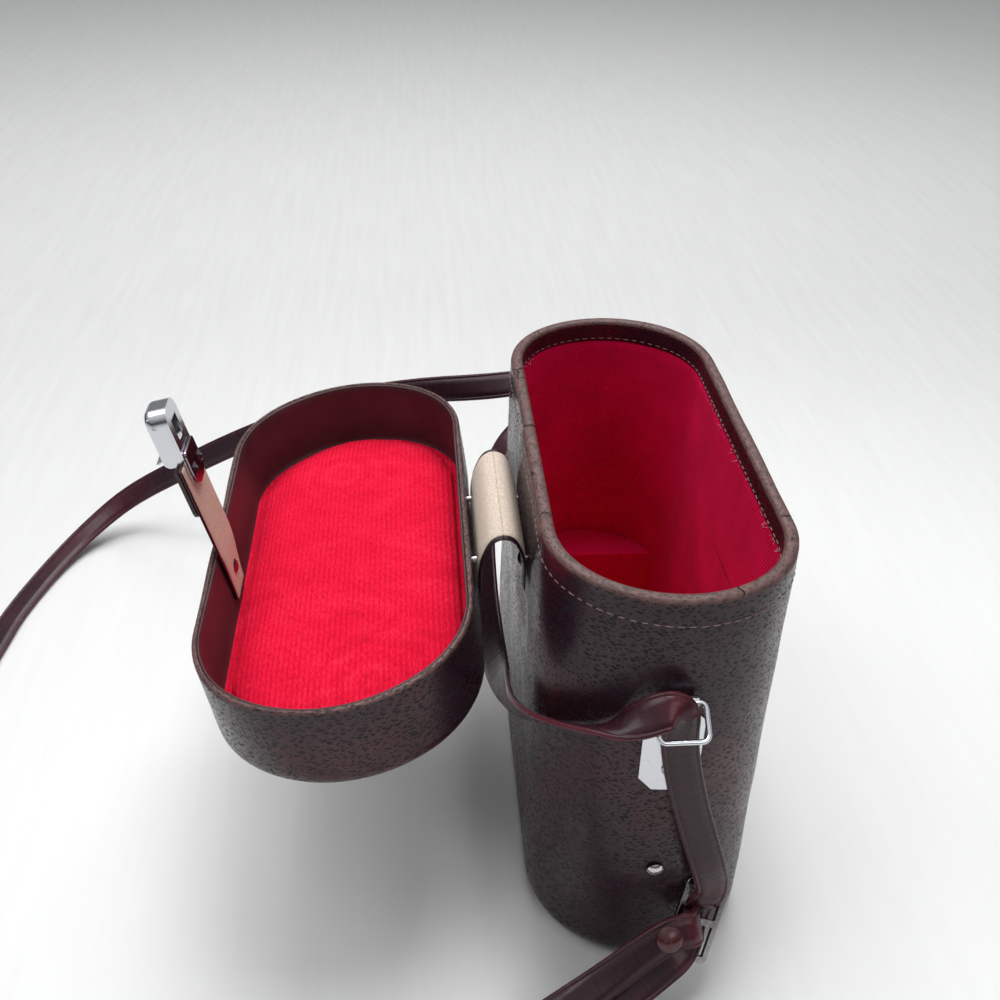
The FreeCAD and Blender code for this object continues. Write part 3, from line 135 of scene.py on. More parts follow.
# Stuffing of the lid pad: (inset, height) of its low form, and how far the cloth may swell
PAD_FORM = ((2.0, 0.0), (0.4, 0.3), (0.2, 2.4), (1.0, 4.4), (4.0, 5.6), (12.0, 6.4), (25.0, 7.0))
PAD_VOXEL = 0.004
PAD_GLUED_BELOW = 0.0012
PAD_MOST_SWELL = 0.0036
PAD_FRAMES = 20
PAD_SMOOTHINGS = 10
PAD_FOOT_LEVEL = LID_PAD_LEVEL - 1.4

# Lamps: place, where they point, size and power
LAMPS = (
    ("back_softbox", (0.0, 0.85, 1.35), (-0.05, 0.0, 0.1), (1.0, 0.8), 13.0),
    ("top_softbox", (0.02, 0.22, 1.5), (0.0, 0.0, 0.1), (0.5, 0.5), 8.0),
    ("left_softbox", (-0.75, 0.05, 1.25), (-0.05, 0.0, 0.1), (0.8, 0.8), 6.0),
    ("front_fill", (0.5, -1.1, 1.1), (0.0, 0.0, 0.1), (0.9, 0.6), 2.5),
)
ROOM_LIGHT = 0.34

# Backdrop, in millimetres: a floor that curves up into a wall
FLOOR_HALF_WIDTH = 4000
FLOOR_FRONT = -2500
FLOOR_RUN = 5200
FLOOR_CURVE = 1200
FLOOR_FLAT_SHARE = 0.6
WALL_TOP = 4000
FLOOR_STEPS = 24

# Camera
CAMERA_PLACE = (-0.08173, -0.32399, 0.37501)
CAMERA_YAW = 0.0954
CAMERA_PITCH = 0.6299
CAMERA_ROLL = 0.0337
CAMERA_LENS = 37.62

SMOOTH_BELOW = math.radians(38)

# Shoulder strap: place of its middle line, and the way its smooth face looks there
STRAP_ROUTE = (
    (15, -115.2, 31.3, 0.15, -0.85, 0.5),
    (14.4, -119.8, 33.8, 0.1, -0.75, 0.65),
    (6, -120.3, 33.6, 0.0, -0.8, 0.6),
    (-3.5, -122.8, 28.5, 0.0, -0.8, 0.6),
    (-16, -127.5, 21.5, 0.0, -0.7, 0.7),
    (-33, -133.8, 13.5, 0.0, -0.4, 0.9),
    (-54, -141.7, 6.2, 0, -0.2, 1),
    (-80, -150, 1.5, 0, 0, 1),
    (-115, -157, 1.5, 0, 0, 1),
    (-132.5, -157.5, 1.5, 0, 0, 1),
    (-150, -158, 1.5, 0, 0, 1),
    (-196, -153, 1.5, 0, 0, 1),
    (-238, -130, 1.5, 0, 0, 1),
    (-269, -95, 1.5, 0, 0, 1),
    (-288, -49, 1.5, 0, 0, 1),
    (-296, 1, 1.5, 0, 0, 1),
    (-297, 52, 1.5, 0, 0, 1),
    (-294.5, 75, 1.5, 0, 0, 1),
    (-292, 98, 1.5, 0, 0, 1),
    (-280, 139, 2.5, 0, -0.1, 1),
    (-264, 161, 10, -0.15, -0.5, 0.85),
    (-243.8, 169.6, 23.3, -0.3, -0.75, 0.6),
    (-211.8, 160.6, 46.1, -0.3, -0.8, 0.5),
    (-182, 153, 66, -0.3, -0.85, 0.4),
    (-150.7, 143.8, 84.7, -0.3, -0.85, 0.3),
    (-116, 136, 103, -0.3, -0.9, 0.3),
    (-80, 121.5, 116.5, -0.3, -0.9, 0.3),
    (-50, 110.5, 124, -0.15, -0.8, 0.5),
    (-28, 106.5, 129, 0, -0.5, 0.8),
    (-14, 105.7, 132.5, 0, 0.1, 1),
    (-5, 105.7, 133.5, 0.3, 0.6, 0.7),
    (-1, 105.7, 130, 0.5, 0.8, 0.2),
    (-1, 105.7, 126.5, 0.3, 1, 0),
    (-1, 105.7, 120.5, 0.1, 1, 0),
    (-8, 105.9, 114, 0, 0.9, -0.4),
    (-20, 105, 110.5, 0, 0.7, -0.6),
    (-33, 99, 107.5, 0.1, 0.3, -0.9),
    (-44, 85.5, 102.5, 0.6, 0.2, -0.8),
    (-51, 66, 94.5, 0.75, 0, -0.6),
    (-54, 42, 85, 0.6, 0, -0.8),
    (-54.5, 16, 78, 0.6, 0, -0.8),
    (-54, -10, 75.5, 0.6, 0, -0.8),
    (-52.5, -35, 79, 0.75, 0.1, -0.6),
    (-50, -57, 88.5, 0.9, 0.3, 0.0),
    (-46.5, -75, 101, 0.54, 0.6, 0.6),
    (-39, -90, 111.5, 0.3, 0.69, 0.66),
    (-28, -100.5, 119, 0.03, 0.75, 0.66),
    (-15, -105.5, 128, -0.13, -0.45, 0.88),
    (-5, -105.7, 133.5, 0.05, -0.65, 0.75),
    (-1, -105.7, 130, 0.4, -0.9, 0.3),
    (-1, -105.7, 126.5, 0.2, -1, 0.1),
    (-1, -105.7, 119, 0, -1, 0),
    (2, -106.5, 104, 0, -1, 0),
    (7, -107.5, 86, 0, -1, 0),
    (12.5, -109, 69, 0.05, -1, 0),
    (17.3, -110.6, 54.5, 0.12, -1, 0.1),
    (20.4, -109.8, 43.3, 0.15, -0.9, 0.3),
    (18, -111.1, 36.5, 0.15, -0.85, 0.4),
    (16.1, -109, 30.8, 0.15, -0.85, 0.3),
    (13.6, -111.6, 26, 0.1, -0.6, 0.7),
    (11.5, -117.8, 25.4, 0.1, -0.55, 0.8),
    (6.9, -123.7, 24.2, 0.1, -0.6, 0.8),
    (0.94, -125.9, 19.8, 0.05, -0.5, 0.85),
    (-8, -129.2, 13.2, 0, -0.4, 0.9),
    (-22, -134, 7.6, 0, -0.25, 1),
    (-38, -139.5, 3.4, 0, -0.1, 1),
    (-56, -146, 1.5, 0, 0, 1),
)


# Sizes and colours a user would change
class CoveringSettings(bpy.types.PropertyGroup):
    """Sizes and colours of the pored leathercloth."""
    colour: bpy.props.FloatVectorProperty(
        name="Colour", description="Main colour of the leathercloth", subtype="COLOR", size=4,
        default=(0.026, 0.008, 0.016, 1))
    red_colour: bpy.props.FloatVectorProperty(
        name="Red patches", description="Redder colour that shows through in patches", subtype="COLOR", size=4,
        default=(0.055, 0.009, 0.013, 1))
    rim_colour: bpy.props.FloatVectorProperty(
        name="Worn rim", description="Colour where the rolled rim is rubbed", subtype="COLOR", size=4,
        default=(0.14, 0.072, 0.066, 1))
    pore_spacing: bpy.props.FloatProperty(
        name="Pore spacing", description="Distance between two pores", default=0.0023, unit="LENGTH",
        precision=5)
    waviness: bpy.props.FloatProperty(
        name="Waviness", description="How far the stiff wall strays from true", default=0.0004, unit="LENGTH",
        precision=5)


class StitchSettings(bpy.types.PropertyGroup):
    """Sizes and colour of the sewing along the rim."""
    pitch: bpy.props.FloatProperty(
        name="Pitch", description="Distance from stitch to stitch", default=0.0037, unit="LENGTH", precision=5)
    length: bpy.props.FloatProperty(
        name="Length", description="Length of thread that shows", default=0.0029, unit="LENGTH", precision=5)
    thread: bpy.props.FloatProperty(
        name="Thread", description="Thickness of the thread", default=0.00042, unit="LENGTH", precision=5)
    colour: bpy.props.FloatVectorProperty(
        name="Colour", description="Colour of the thread", subtype="COLOR", size=4,
        default=(0.36, 0.22, 0.21, 1))
    fray_colour: bpy.props.FloatVectorProperty(
        name="Frayed ends", description="Colour of the loose thread ends", subtype="COLOR", size=4,
        default=(0.62, 0.40, 0.40, 1))


class LiningSettings(bpy.types.PropertyGroup):
    """Colours of the red lining and its padded blocks."""
    colour: bpy.props.FloatVectorProperty(
        name="Colour", description="Colour of the lining cloth", subtype="COLOR", size=4,
        default=(0.92, 0.004, 0.095, 1))
    facing_colour: bpy.props.FloatVectorProperty(
        name="Lid facing", description="Colour of the facing round the inside of the lid", subtype="COLOR",
        size=4, default=(0.062, 0.021, 0.028, 1))


class CushionSettings(bpy.types.PropertyGroup):
    """Sizes and colour of the corduroy pad in the lid."""
    colour: bpy.props.FloatVectorProperty(
        name="Colour", description="Colour of the corduroy", subtype="COLOR", size=4,
        default=(0.78, 0.004, 0.036, 1))
    rib_pitch: bpy.props.FloatProperty(
        name="Rib pitch", description="Distance from rib to rib", default=0.0020, unit="LENGTH", precision=5)
    rib_height: bpy.props.FloatProperty(
        name="Rib height", description="How far a rib stands up", default=0.00045, unit="LENGTH", precision=5)


class HingeSettings(bpy.types.PropertyGroup):
    """Sizes and colours of the leather hinge."""
    thickness: bpy.props.FloatProperty(
        name="Thickness", description="Thickness of the hinge leather", default=0.0017, unit="LENGTH",
        precision=5)
    flesh_colour: bpy.props.FloatVectorProperty(
        name="Flesh side", description="Colour of the rough side of the leather", subtype="COLOR", size=4,
        default=(0.80, 0.66, 0.55, 1))
    grain_colour: bpy.props.FloatVectorProperty(
        name="Grain side", description="Colour of the smooth side and the edges", subtype="COLOR", size=4,
        default=(0.030, 0.012, 0.014, 1))


class ClaspSettings(bpy.types.PropertyGroup):
    """Colours of the clasp strap and its metal."""
    flesh_colour: bpy.props.FloatVectorProperty(
        name="Flesh side", description="Colour of the rough side of the strap", subtype="COLOR", size=4,
        default=(0.74, 0.54, 0.44, 1))
    grain_colour: bpy.props.FloatVectorProperty(
        name="Grain side", description="Colour of the smooth side and the edges", subtype="COLOR", size=4,
        default=(0.040, 0.008, 0.014, 1))
    metal_colour: bpy.props.FloatVectorProperty(
        name="Metal", description="Colour of the bright plated metal", subtype="COLOR", size=4,
        default=(0.66, 0.67, 0.70, 1))


class StrapSettings(bpy.types.PropertyGroup):
    """Sizes and colours of the shoulder strap."""
    width: bpy.props.FloatProperty(
        name="Width", description="Width of the strap", default=0.0125, unit="LENGTH", precision=5)
    thickness: bpy.props.FloatProperty(
        name="Thickness", description="Thickness of the strap", default=0.0022, unit="LENGTH", precision=5)
    colour: bpy.props.FloatVectorProperty(
        name="Colour", description="Colour of the strap", subtype="COLOR", size=4,
        default=(0.031, 0.012, 0.019, 1))
    # Painted highlight: this redder colour is painted on the strap's bends for the light they catch.
    red_colour: bpy.props.FloatVectorProperty(
        name="Red shade", description="Redder shade of the bent stretches", subtype="COLOR", size=4,
        default=(0.12, 0.013, 0.022, 1))


class StageSettings(bpy.types.PropertyGroup):
    """The floor and the light."""
    floor_colour: bpy.props.FloatVectorProperty(
        name="Floor", description="Colour of the floor", subtype="COLOR", size=4,
        default=(0.80, 0.80, 0.795, 1))
    light: bpy.props.FloatProperty(name="Light", description="Level of the lamps", default=1.0)


# Node trees
class Graph:
    """Adds nodes to a tree, with their inputs set to values or joined to sockets."""

    def __init__(self, tree):
        self.tree = tree

    def node(self, kind, inputs=(), **settings):
        made = self.tree.nodes.new(kind)
        for name, value in settings.items():
            setattr(made, name, value)
        for key, value in dict(inputs).items():
            if isinstance(value, bpy.types.NodeSocket):
                self.tree.links.new(value, made.inputs[key])
            elif value is not None:
                made.inputs[key].default_value = value
        return made

    def math(self, operation, first, second=0.0, clamp=False):
        return self.node("ShaderNodeMath", {0: first, 1: second}, operation=operation,
                         use_clamp=clamp).outputs[0]

    def times(self, first, second):
        return self.math("MULTIPLY", first, second)

    def vector(self, operation, first, second=None, scale=None):
        inputs = {0: first}
        if second is not None:
            inputs[1] = second
        if scale is not None:
            inputs["Scale"] = scale
        return self.node("ShaderNodeVectorMath", inputs, operation=operation).outputs[0]

    def mix(self, share, first, second):
        made = self.node("ShaderNodeMix", data_type="RGBA")
        for socket, value in ((made.inputs[0], share), (made.inputs[6], first), (made.inputs[7], second)):
            if isinstance(value, bpy.types.NodeSocket):
                self.tree.links.new(value, socket)
            else:
                socket.default_value = value
        return made.outputs[2]

    def noise(self, vector, scale, detail=2.0, roughness=0.5, distortion=0.0):
        return self.node("ShaderNodeTexNoise", {"Vector": vector, "Scale": scale, "Detail": detail,
                         "Roughness": roughness, "Distortion": distortion}).outputs["Fac"]

    def span(self, value, low, high, to_low=0.0, to_high=1.0, smooth=False):
        kind = "SMOOTHSTEP" if smooth else "LINEAR"
        return self.node("ShaderNodeMapRange", {"Value": value, "From Min": low, "From Max": high,
                         "To Min": to_low, "To Max": to_high}, interpolation_type=kind).outputs["Result"]

    def bump(self, height, distance, strength=1.0):
        return self.node("ShaderNodeBump", {"Height": height, "Distance": distance,
                         "Strength": strength}).outputs["Normal"]

    def stretched(self, vector, scale, turn=(0, 0, 0)):
        return self.node("ShaderNodeMapping", {"Vector": vector, "Rotation": turn, "Scale": scale}).outputs[0]

    def place(self):
        return self.node("ShaderNodeTexCoord").outputs["Object"]

    def flat(self):
        return self.node("ShaderNodeUVMap", uv_map="UVMap").outputs[0]

    def split(self, vector):
        return self.node("ShaderNodeSeparateXYZ", {0: vector}).outputs

    def joined(self, *parts):
        return self.node("ShaderNodeCombineXYZ", dict(enumerate(parts))).outputs[0]

    def shown(self):
        """1 where the eye meets a surface itself, or its mirror image or sight through glass."""
        seen = self.node("ShaderNodeLightPath").outputs
        mirrored = self.math("MAXIMUM", seen["Is Glossy Ray"], seen["Is Transmission Ray"])
        return self.math("MAXIMUM", seen["Is Camera Ray"], mirrored), seen["Is Camera Ray"]

    def painted(self, name):
        return self.node("ShaderNodeAttribute", attribute_name=name).outputs["Fac"]

    def use(self, group, **inputs):
        made = self.tree.nodes.new("ShaderNodeGroup")
        made.node_tree = group
        for key, value in inputs.items():
            socket = made.inputs[key.replace("_", " ")]
            if isinstance(value, bpy.types.NodeSocket):
                self.tree.links.new(value, socket)
            else:
                socket.default_value = value
        return made.outputs


def shaded(colour, share):
    """The same colour, darker."""
    return tuple(share * c for c in colour[:3]) + (1.0,)


def tinted(colour, red, green, blue):
    """The same colour with each channel at its own share."""
    return (red * colour[0], green * colour[1], blue * colour[2], 1)


def shader_group(name, inputs, outputs):
    """A named effect and the graph, inputs and outputs to build it with, or None for each once it is built."""
    kinds = {"v": "NodeSocketVector", "f": "NodeSocketFloat"}
    found = bpy.data.node_groups.get(name)
    if found:
        return found, None, None, None
    group = bpy.data.node_groups.new(name, "ShaderNodeTree")
    for label, kind in inputs:
        group.interface.new_socket(label, in_out="INPUT", socket_type=kinds[kind])
    for label, kind in outputs:
        group.interface.new_socket(label, in_out="OUTPUT", socket_type=kinds[kind])
    graph = Graph(group)
    entry = group.nodes.new("NodeGroupInput")
    out = group.nodes.new("NodeGroupOutput")
    return group, graph, entry.outputs, out.inputs


def pored_grain():
    """Short slanting pores pressed into leathercloth, over a fine uneven grain."""
    group, graph, given, made = shader_group(
        "pored_grain", (("Surface", "v"), ("Pore spacing", "f"), ("Pore size", "f")),
        (("Pores", "f"), ("Height", "f")))
    if graph:
        link = group.links.new
        wander = graph.noise(given["Surface"], 70.0, 2.0)
        shifted = graph.vector("ADD", given["Surface"], graph.vector(
            "SCALE", graph.joined(wander, wander), scale=0.004))
        lying = graph.stretched(shifted, (1.0, 2.0, 1.0), PORE_SLANT)
        cells = graph.vector("SCALE", lying, scale=graph.math("DIVIDE", 1.0, given["Pore spacing"]))
        pores = graph.node("ShaderNodeTexVoronoi", {"Vector": cells, "Scale": 1.0, "Randomness": 0.85},
                           voronoi_dimensions="2D")
        chance = graph.split(pores.outputs["Color"])
        size = graph.times(given["Pore size"], graph.span(chance[0], 0.0, 1.0, 0.3, 1.5))
        ragged = graph.noise(given["Surface"], 1500.0, 2.0)
        reach = graph.math("ADD", pores.outputs["Distance"], graph.span(ragged, 0.3, 0.7, -0.06, 0.06))
        hole = graph.math("SUBTRACT", 1.0, graph.math("DIVIDE", reach, size), clamp=True)
        hole = graph.span(hole, 0.02, 0.12, smooth=True)
        fine = graph.noise(graph.stretched(given["Surface"], (1.0, 1.6, 1.0), PORE_SLANT), 900.0, 3.0, 0.6)
        link(hole, made["Pores"])
        link(graph.math("SUBTRACT", graph.times(fine, 0.16), hole), made["Height"])
    return group


def rubbed_patches():
    """Uneven wear: a mask that is strongest where the given amount is high."""
    group, graph, given, made = shader_group(
        "rubbed_patches", (("Place", "v"), ("Amount", "f"), ("Patch size", "f")), (("Mask", "f"),))
    if graph:
        scale = graph.math("DIVIDE", 1.0, given["Patch size"])
        patch = graph.noise(graph.vector("SCALE", given["Place"], scale=scale), 1.0, 4.0, 0.65)
        raised = graph.math("ADD", patch, graph.span(given["Amount"], 0.0, 1.0, -0.5, 0.5))
        group.links.new(graph.span(raised, 0.42, 0.72, smooth=True), made["Mask"])
    return group


def woven_cloth():
    """Fine crossing threads, with a soft nap over them."""
    group, graph, given, made = shader_group(
        "woven_cloth", (("Surface", "v"), ("Thread spacing", "f")), (("Threads", "f"), ("Height", "f")))
    if graph:
        link = group.links.new
        cells = graph.vector("SCALE", graph.stretched(given["Surface"], (1, 1, 1), WEAVE_SLANT),
                             scale=graph.math("DIVIDE", math.pi, given["Thread spacing"]))
        parts = graph.split(cells)
        warp = graph.math("ABSOLUTE", graph.math("SINE", parts[0]))
        weft = graph.math("ABSOLUTE", graph.math("SINE", parts[1]))
        woven = graph.math("ADD", graph.times(warp, 0.75), graph.times(weft, 0.25))
        nap = graph.noise(given["Surface"], 1400.0, 3.0, 0.7)
        height = graph.math("ADD", graph.times(woven, 0.6), graph.times(nap, 0.7))
        link(woven, made["Threads"])
        link(height, made["Height"])
    return group


def rough_hide():
    """The flesh side of leather: loose pale fibres between darker specks."""
    group, graph, given, made = shader_group(
        "rough_hide", (("Place", "v"), ("Speck size", "f")), (("Specks", "f"), ("Height", "f")))
    if graph:
        link = group.links.new
        scaled = graph.vector("SCALE", given["Place"], scale=graph.math("DIVIDE", 1.0, given["Speck size"]))
        specks = graph.noise(scaled, 1.0, 3.0, 0.7)
        fibres = graph.noise(graph.stretched(scaled, (0.5, 2.0, 1.0), (0, 0, 0.5)), 1.6, 3.0, 0.7, 0.6)
        link(graph.span(specks, 0.38, 0.66), made["Specks"])
        link(graph.math("ADD", fibres, specks), made["Height"])
    return group


def new_material(name, **values):
    """A material with its surface's plain inputs set: itself, its graph, the surface's inputs, what links."""
    material = bpy.data.materials.new(name)
    material.use_nodes = True
    tree = material.node_tree
    tree.nodes.clear()
    graph = Graph(tree)
    surface = tree.nodes.new("ShaderNodeBsdfPrincipled")
    out = tree.nodes.new("ShaderNodeOutputMaterial")
    tree.links.new(surface.outputs[0], out.inputs["Surface"])
    for key, value in values.items():
        surface.inputs[key.replace("_", " ")].default_value = value
    return material, graph, surface.inputs, tree.links.new


def covering_material(name, settings):
    """Glossy dark leathercloth with its pores painted near black as shade in their hollows, rubbed pale on the
    rim.
    """
    material, graph, surface, link = new_material(name, Specular_IOR_Level=0.38)
    place = graph.place()
    flat = graph.flat()
    grain = graph.use(pored_grain(), Surface=flat, Pore_spacing=settings.pore_spacing, Pore_size=0.30)
    patches = graph.noise(place, 17.0, 3.0, 0.55)
    body = graph.mix(graph.span(patches, 0.46, 0.66, smooth=True), settings.colour, settings.red_colour)
    worn = graph.painted("worn")
    rubbed = graph.use(rubbed_patches(), Place=place, Amount=worn, Patch_size=0.006)
    tone = graph.noise(place, 320.0, 3.0, 0.6)
    rim = graph.mix(graph.span(tone, 0.35, 0.7), shaded(settings.rim_colour, 0.62),
                    settings.rim_colour)
    share = graph.times(graph.math("MAXIMUM", rubbed["Mask"], graph.times(worn, 0.75)),
                       graph.span(worn, 0.0, 0.25, smooth=True))
    colour = graph.mix(share, body, rim)
    pores = graph.times(grain["Pores"], graph.span(worn, 0.2, 1.0, 1.0, 0.35))
    # Painted shade: the pores are painted near black for the shade in their hollows.
    colour = graph.mix(pores, colour, (0.004, 0.002, 0.003, 1))
    lines = graph.painted("creased")
    wandering = graph.vector("ADD", place, graph.vector("SCALE", graph.joined(tone, tone), scale=0.004))
    cracked = graph.node("ShaderNodeTexVoronoi", {"Vector": wandering, "Scale": 75.0},
                         feature="DISTANCE_TO_EDGE").outputs["Distance"]
    cracked = graph.times(graph.span(cracked, 0.0, 0.035, 1.0, 0.0), graph.span(worn, 0.55, 0.9))
    cracked = graph.times(cracked, graph.span(graph.noise(place, 45.0, 2.0), 0.5, 0.62))
    lines = graph.math("MAXIMUM", lines, cracked)
    colour = graph.mix(graph.span(lines, 0.25, 0.8, smooth=True), colour, (0.008, 0.003, 0.004, 1))
    link(colour, surface["Base Color"])
    gloss = graph.span(graph.noise(place, 60.0, 3.0), 0.3, 0.7, 0.22, 0.34)
    gloss = graph.math("ADD", gloss, graph.times(share, 0.22))
    link(graph.math("ADD", gloss, graph.times(pores, 0.3), clamp=True), surface["Roughness"])
    normal = graph.bump(graph.math("SUBTRACT", grain["Height"], graph.times(lines, 2.0)), 0.00035, 1.0)
    link(normal, surface["Normal"])
    return material


def cloth_material(name, colour, spacing, dark=0.5, unrolled=True):
    """Red lining cloth with a soft nap and a painted shade line under its lap on the front wall; unrolled
    cloth takes its weave from the flat places.
    """
    material, graph, surface, link = new_material(
        name, Roughness=0.9, Specular_IOR_Level=0.12, Sheen_Weight=0.10, Sheen_Roughness=0.45,
        Sheen_Tint=(1.0, 0.08, 0.2, 1))
    place = graph.place()
    flat = graph.flat()
    if not unrolled:
        x, y, z = graph.split(place)
        flat = graph.joined(graph.math("ADD", x, z), graph.math("SUBTRACT", y, z))
    cloth = graph.use(woven_cloth(), Surface=flat, Thread_spacing=spacing)
    cloud = graph.noise(place, 28.0, 4.0, 0.6)
    shade = graph.mix(graph.span(cloud, 0.3, 0.7), shaded(colour, dark), tuple(colour))
    threads = graph.mix(graph.span(cloth["Threads"], 0.3, 0.95, 0.6, 0.0), shade,
                        tinted(colour, 0.30, 0.2, 0.25))
    x, y, z = graph.split(place)
    # Painted shade: a dark ragged line along the cloth's lap on the front wall, for the shade under the
    # overlapping edge.
    ragged = graph.times(graph.math("SUBTRACT", graph.noise(place, 420.0, 2.0), 0.5), LAP_RAGGEDNESS)
    edge = graph.math("ABSOLUTE", graph.math("SUBTRACT", graph.math("ADD", z, ragged), LAP_LEVEL * MM))
    lap = graph.span(edge, 0.0002, 0.0007, 1.0, 0.0)
    front_wall = graph.times(graph.span(x, 0.030, 0.036), graph.span(y, 0.002, 0.004, 1.0, 0.0))
    lap = graph.times(lap, front_wall)
    threads = graph.mix(graph.times(lap, 0.7), threads, tinted(colour, 0.16, 0.0, 0.2))
    link(threads, surface["Base Color"])
    link(graph.bump(cloth["Height"], 0.00035, 0.7), surface["Normal"])
    return material


def corduroy_material(name, colour):
    """Cut ribs of red pile whose nap lies lighter and darker in arcs, with painted shade in the grooves
    between the ribs.
    """
    material, graph, surface, link = new_material(
        name, Roughness=0.85, Specular_IOR_Level=0.12, Sheen_Weight=0.15, Sheen_Roughness=0.35,
        Sheen_Tint=(1.0, 0.1, 0.2, 1))
    flat = graph.flat()
    swirl = graph.noise(graph.stretched(flat, (1.0, 1.4, 1.0)), 26.0, 4.0, 0.6, 1.6)
    tufts = graph.noise(graph.stretched(flat, (1.0, 0.35, 1.0)), 1300.0, 3.0, 0.75)
    nap = graph.math("ADD", graph.times(swirl, 0.35), graph.times(tufts, 0.65))
    for centre, first, last in CORDUROY_RINGS:
        reach = graph.node("ShaderNodeVectorMath", {0: flat, 1: centre}, operation="DISTANCE").outputs["Value"]
        reach = graph.math("ADD", reach, graph.times(swirl, 0.006))
        rings = graph.math("SINE", graph.times(reach, 2 * math.pi / RING_STEP))
        inside = graph.times(graph.span(reach, 0.0, first, 0.3, 1.0),
                             graph.span(reach, first, last, 1.0, 0.0))
        nap = graph.math("ADD", nap, graph.times(graph.times(rings, inside), 0.035))
    deep = tinted(colour, 0.74, 0.4, 0.66)
    pale = (1.0, 0.03, 0.085, 1)
    body = graph.mix(graph.span(nap, 0.36, 0.50), deep, tuple(colour))
    body = graph.mix(graph.span(nap, 0.50, 0.64, 0.0, 0.75), body, pale)
    # Painted shade: the grooves between the ribs are darkened for the shade that falls in them.
    groove = graph.painted("groove")
    body = graph.mix(graph.times(groove, 0.55), body, tinted(colour, 0.36, 0.0, 0.35))
    link(body, surface["Base Color"])
    link(graph.bump(tufts, 0.0005, 0.8), surface["Normal"])
    return material


def two_sided_leather(name, flesh, grain, speck=0.00055):
    """Leather whose rough side is pale and speckled, and whose smooth side and edges are dark and glossy."""
    material, graph, surface, link = new_material(name)
    place = graph.place()
    hide = graph.use(rough_hide(), Place=place, Speck_size=speck)
    rough_side = graph.span(graph.painted("flesh"), 0.45, 0.55)
    darker = shaded(flesh, 0.62)
    cloud = graph.noise(place, 60.0, 3.0)
    pale = graph.mix(hide["Specks"], darker, tuple(flesh))
    pale = graph.mix(graph.span(cloud, 0.35, 0.75, 0.0, 0.35), pale, shaded(flesh, 0.8))
    link(graph.mix(rough_side, tuple(grain), pale), surface["Base Color"])
    link(graph.span(rough_side, 0.0, 1.0, 0.22, 0.85), surface["Roughness"])
    link(graph.bump(hide["Height"], 0.0002, 0.5), surface["Normal"])
    return material


def strap_material(name, settings):
    """Dark bridle-finished strap leather with fine creases; its bends are painted redder and its edges and
    crease lines lighter, as highlights.
    """
    material, graph, surface, link = new_material(name, Specular_IOR_Level=0.28)
    place = graph.place()
    flat = graph.flat()
    along = graph.noise(graph.stretched(flat, (1.0, 9.0, 1.0)), 60.0, 4.0, 0.6)
    # Painted highlight: the strap's bends are painted redder for the light they catch.
    red = graph.painted("red")
    body = graph.mix(red, tuple(settings.colour), tuple(settings.red_colour))
    body = graph.mix(graph.span(along, 0.4, 0.7, 0.0, 0.5), body, (0.012, 0.006, 0.008, 1))
    # Painted highlight: the edges and the crease lines near them are painted lighter for the light they catch.
    edge = graph.painted("edge")
    body = graph.mix(graph.times(edge, 0.8), body, (0.11, 0.022, 0.030, 1))
    link(body, surface["Base Color"])
    creases = graph.noise(graph.stretched(flat, (1.0, 0.25, 1.0)), 900.0, 3.0, 0.65)
    link(graph.span(graph.noise(place, 90.0, 3.0), 0.3, 0.7, 0.20, 0.34), surface["Roughness"])
    link(graph.bump(graph.math("ADD", creases, graph.times(along, 2.0)), 0.00015, 0.5),
         surface["Normal"])
    return material


def metal_material(name, colour, rough=0.12, wear=0.35):
    """Plated metal with faint scratches and small dull spots."""
    material, graph, surface, link = new_material(name, Metallic=1.0)
    place = graph.place()
    scratches = graph.noise(graph.stretched(place, (1.0, 0.08, 1.0), (0.4, 0.9, 0.3)), 4000.0, 2.0, 0.6)
    spots = graph.use(rubbed_patches(), Place=place, Amount=wear, Patch_size=0.0011)
    dull = shaded(colour, 0.45)
    link(graph.mix(graph.times(spots["Mask"], 0.5), tuple(colour), dull), surface["Base Color"])
    link(graph.math("ADD", graph.span(scratches, 0.3, 0.8, rough, rough + 0.12),
                    graph.times(spots["Mask"], 0.25)), surface["Roughness"])
    link(graph.bump(graph.math("ADD", graph.noise(place, 250.0, 2.0), graph.times(spots["Mask"], -0.3)),
                    0.0002, 0.25), surface["Normal"])
    return material


def enamel_material(name, colour):
    """Smooth dark enamel, rubbed paler and duller in random patches."""
    material, graph, surface, link = new_material(name)
    place = graph.place()
    spots = graph.use(rubbed_patches(), Place=place, Amount=0.42, Patch_size=0.0015)
    link(graph.mix(graph.times(spots["Mask"], 0.5), tuple(colour), (0.10, 0.05, 0.05, 1)),
         surface["Base Color"])
    link(graph.span(spots["Mask"], 0.0, 1.0, 0.16, 0.4), surface["Roughness"])
    link(graph.bump(graph.noise(place, 500.0, 2.0), 0.0002, 0.3), surface["Normal"])
    return material


def thread_material(name, colour):
    """Twisted sewing thread."""
    material, graph, surface, link = new_material(name, Roughness=0.7)
    place = graph.place()
    twist = graph.noise(place, 2500.0, 2.0)
    link(graph.mix(graph.span(twist, 0.35, 0.65), shaded(colour, 0.6), tuple(colour)),
         surface["Base Color"])
    link(graph.bump(twist, 0.0002, 0.6), surface["Normal"])
    return material


def dark_leather_material(name, colour):
    """Polished dark leather."""
    material, graph, surface, link = new_material(name)
    place = graph.place()
    cloud = graph.noise(place, 90.0, 4.0, 0.6)
    link(graph.mix(graph.span(cloud, 0.35, 0.7), tuple(colour), shaded(colour, 0.4)),
         surface["Base Color"])
    link(graph.span(cloud, 0.3, 0.7, 0.2, 0.34), surface["Roughness"])
    link(graph.bump(graph.noise(place, 900.0, 3.0, 0.6), 0.00015, 0.5), surface["Normal"])
    return material


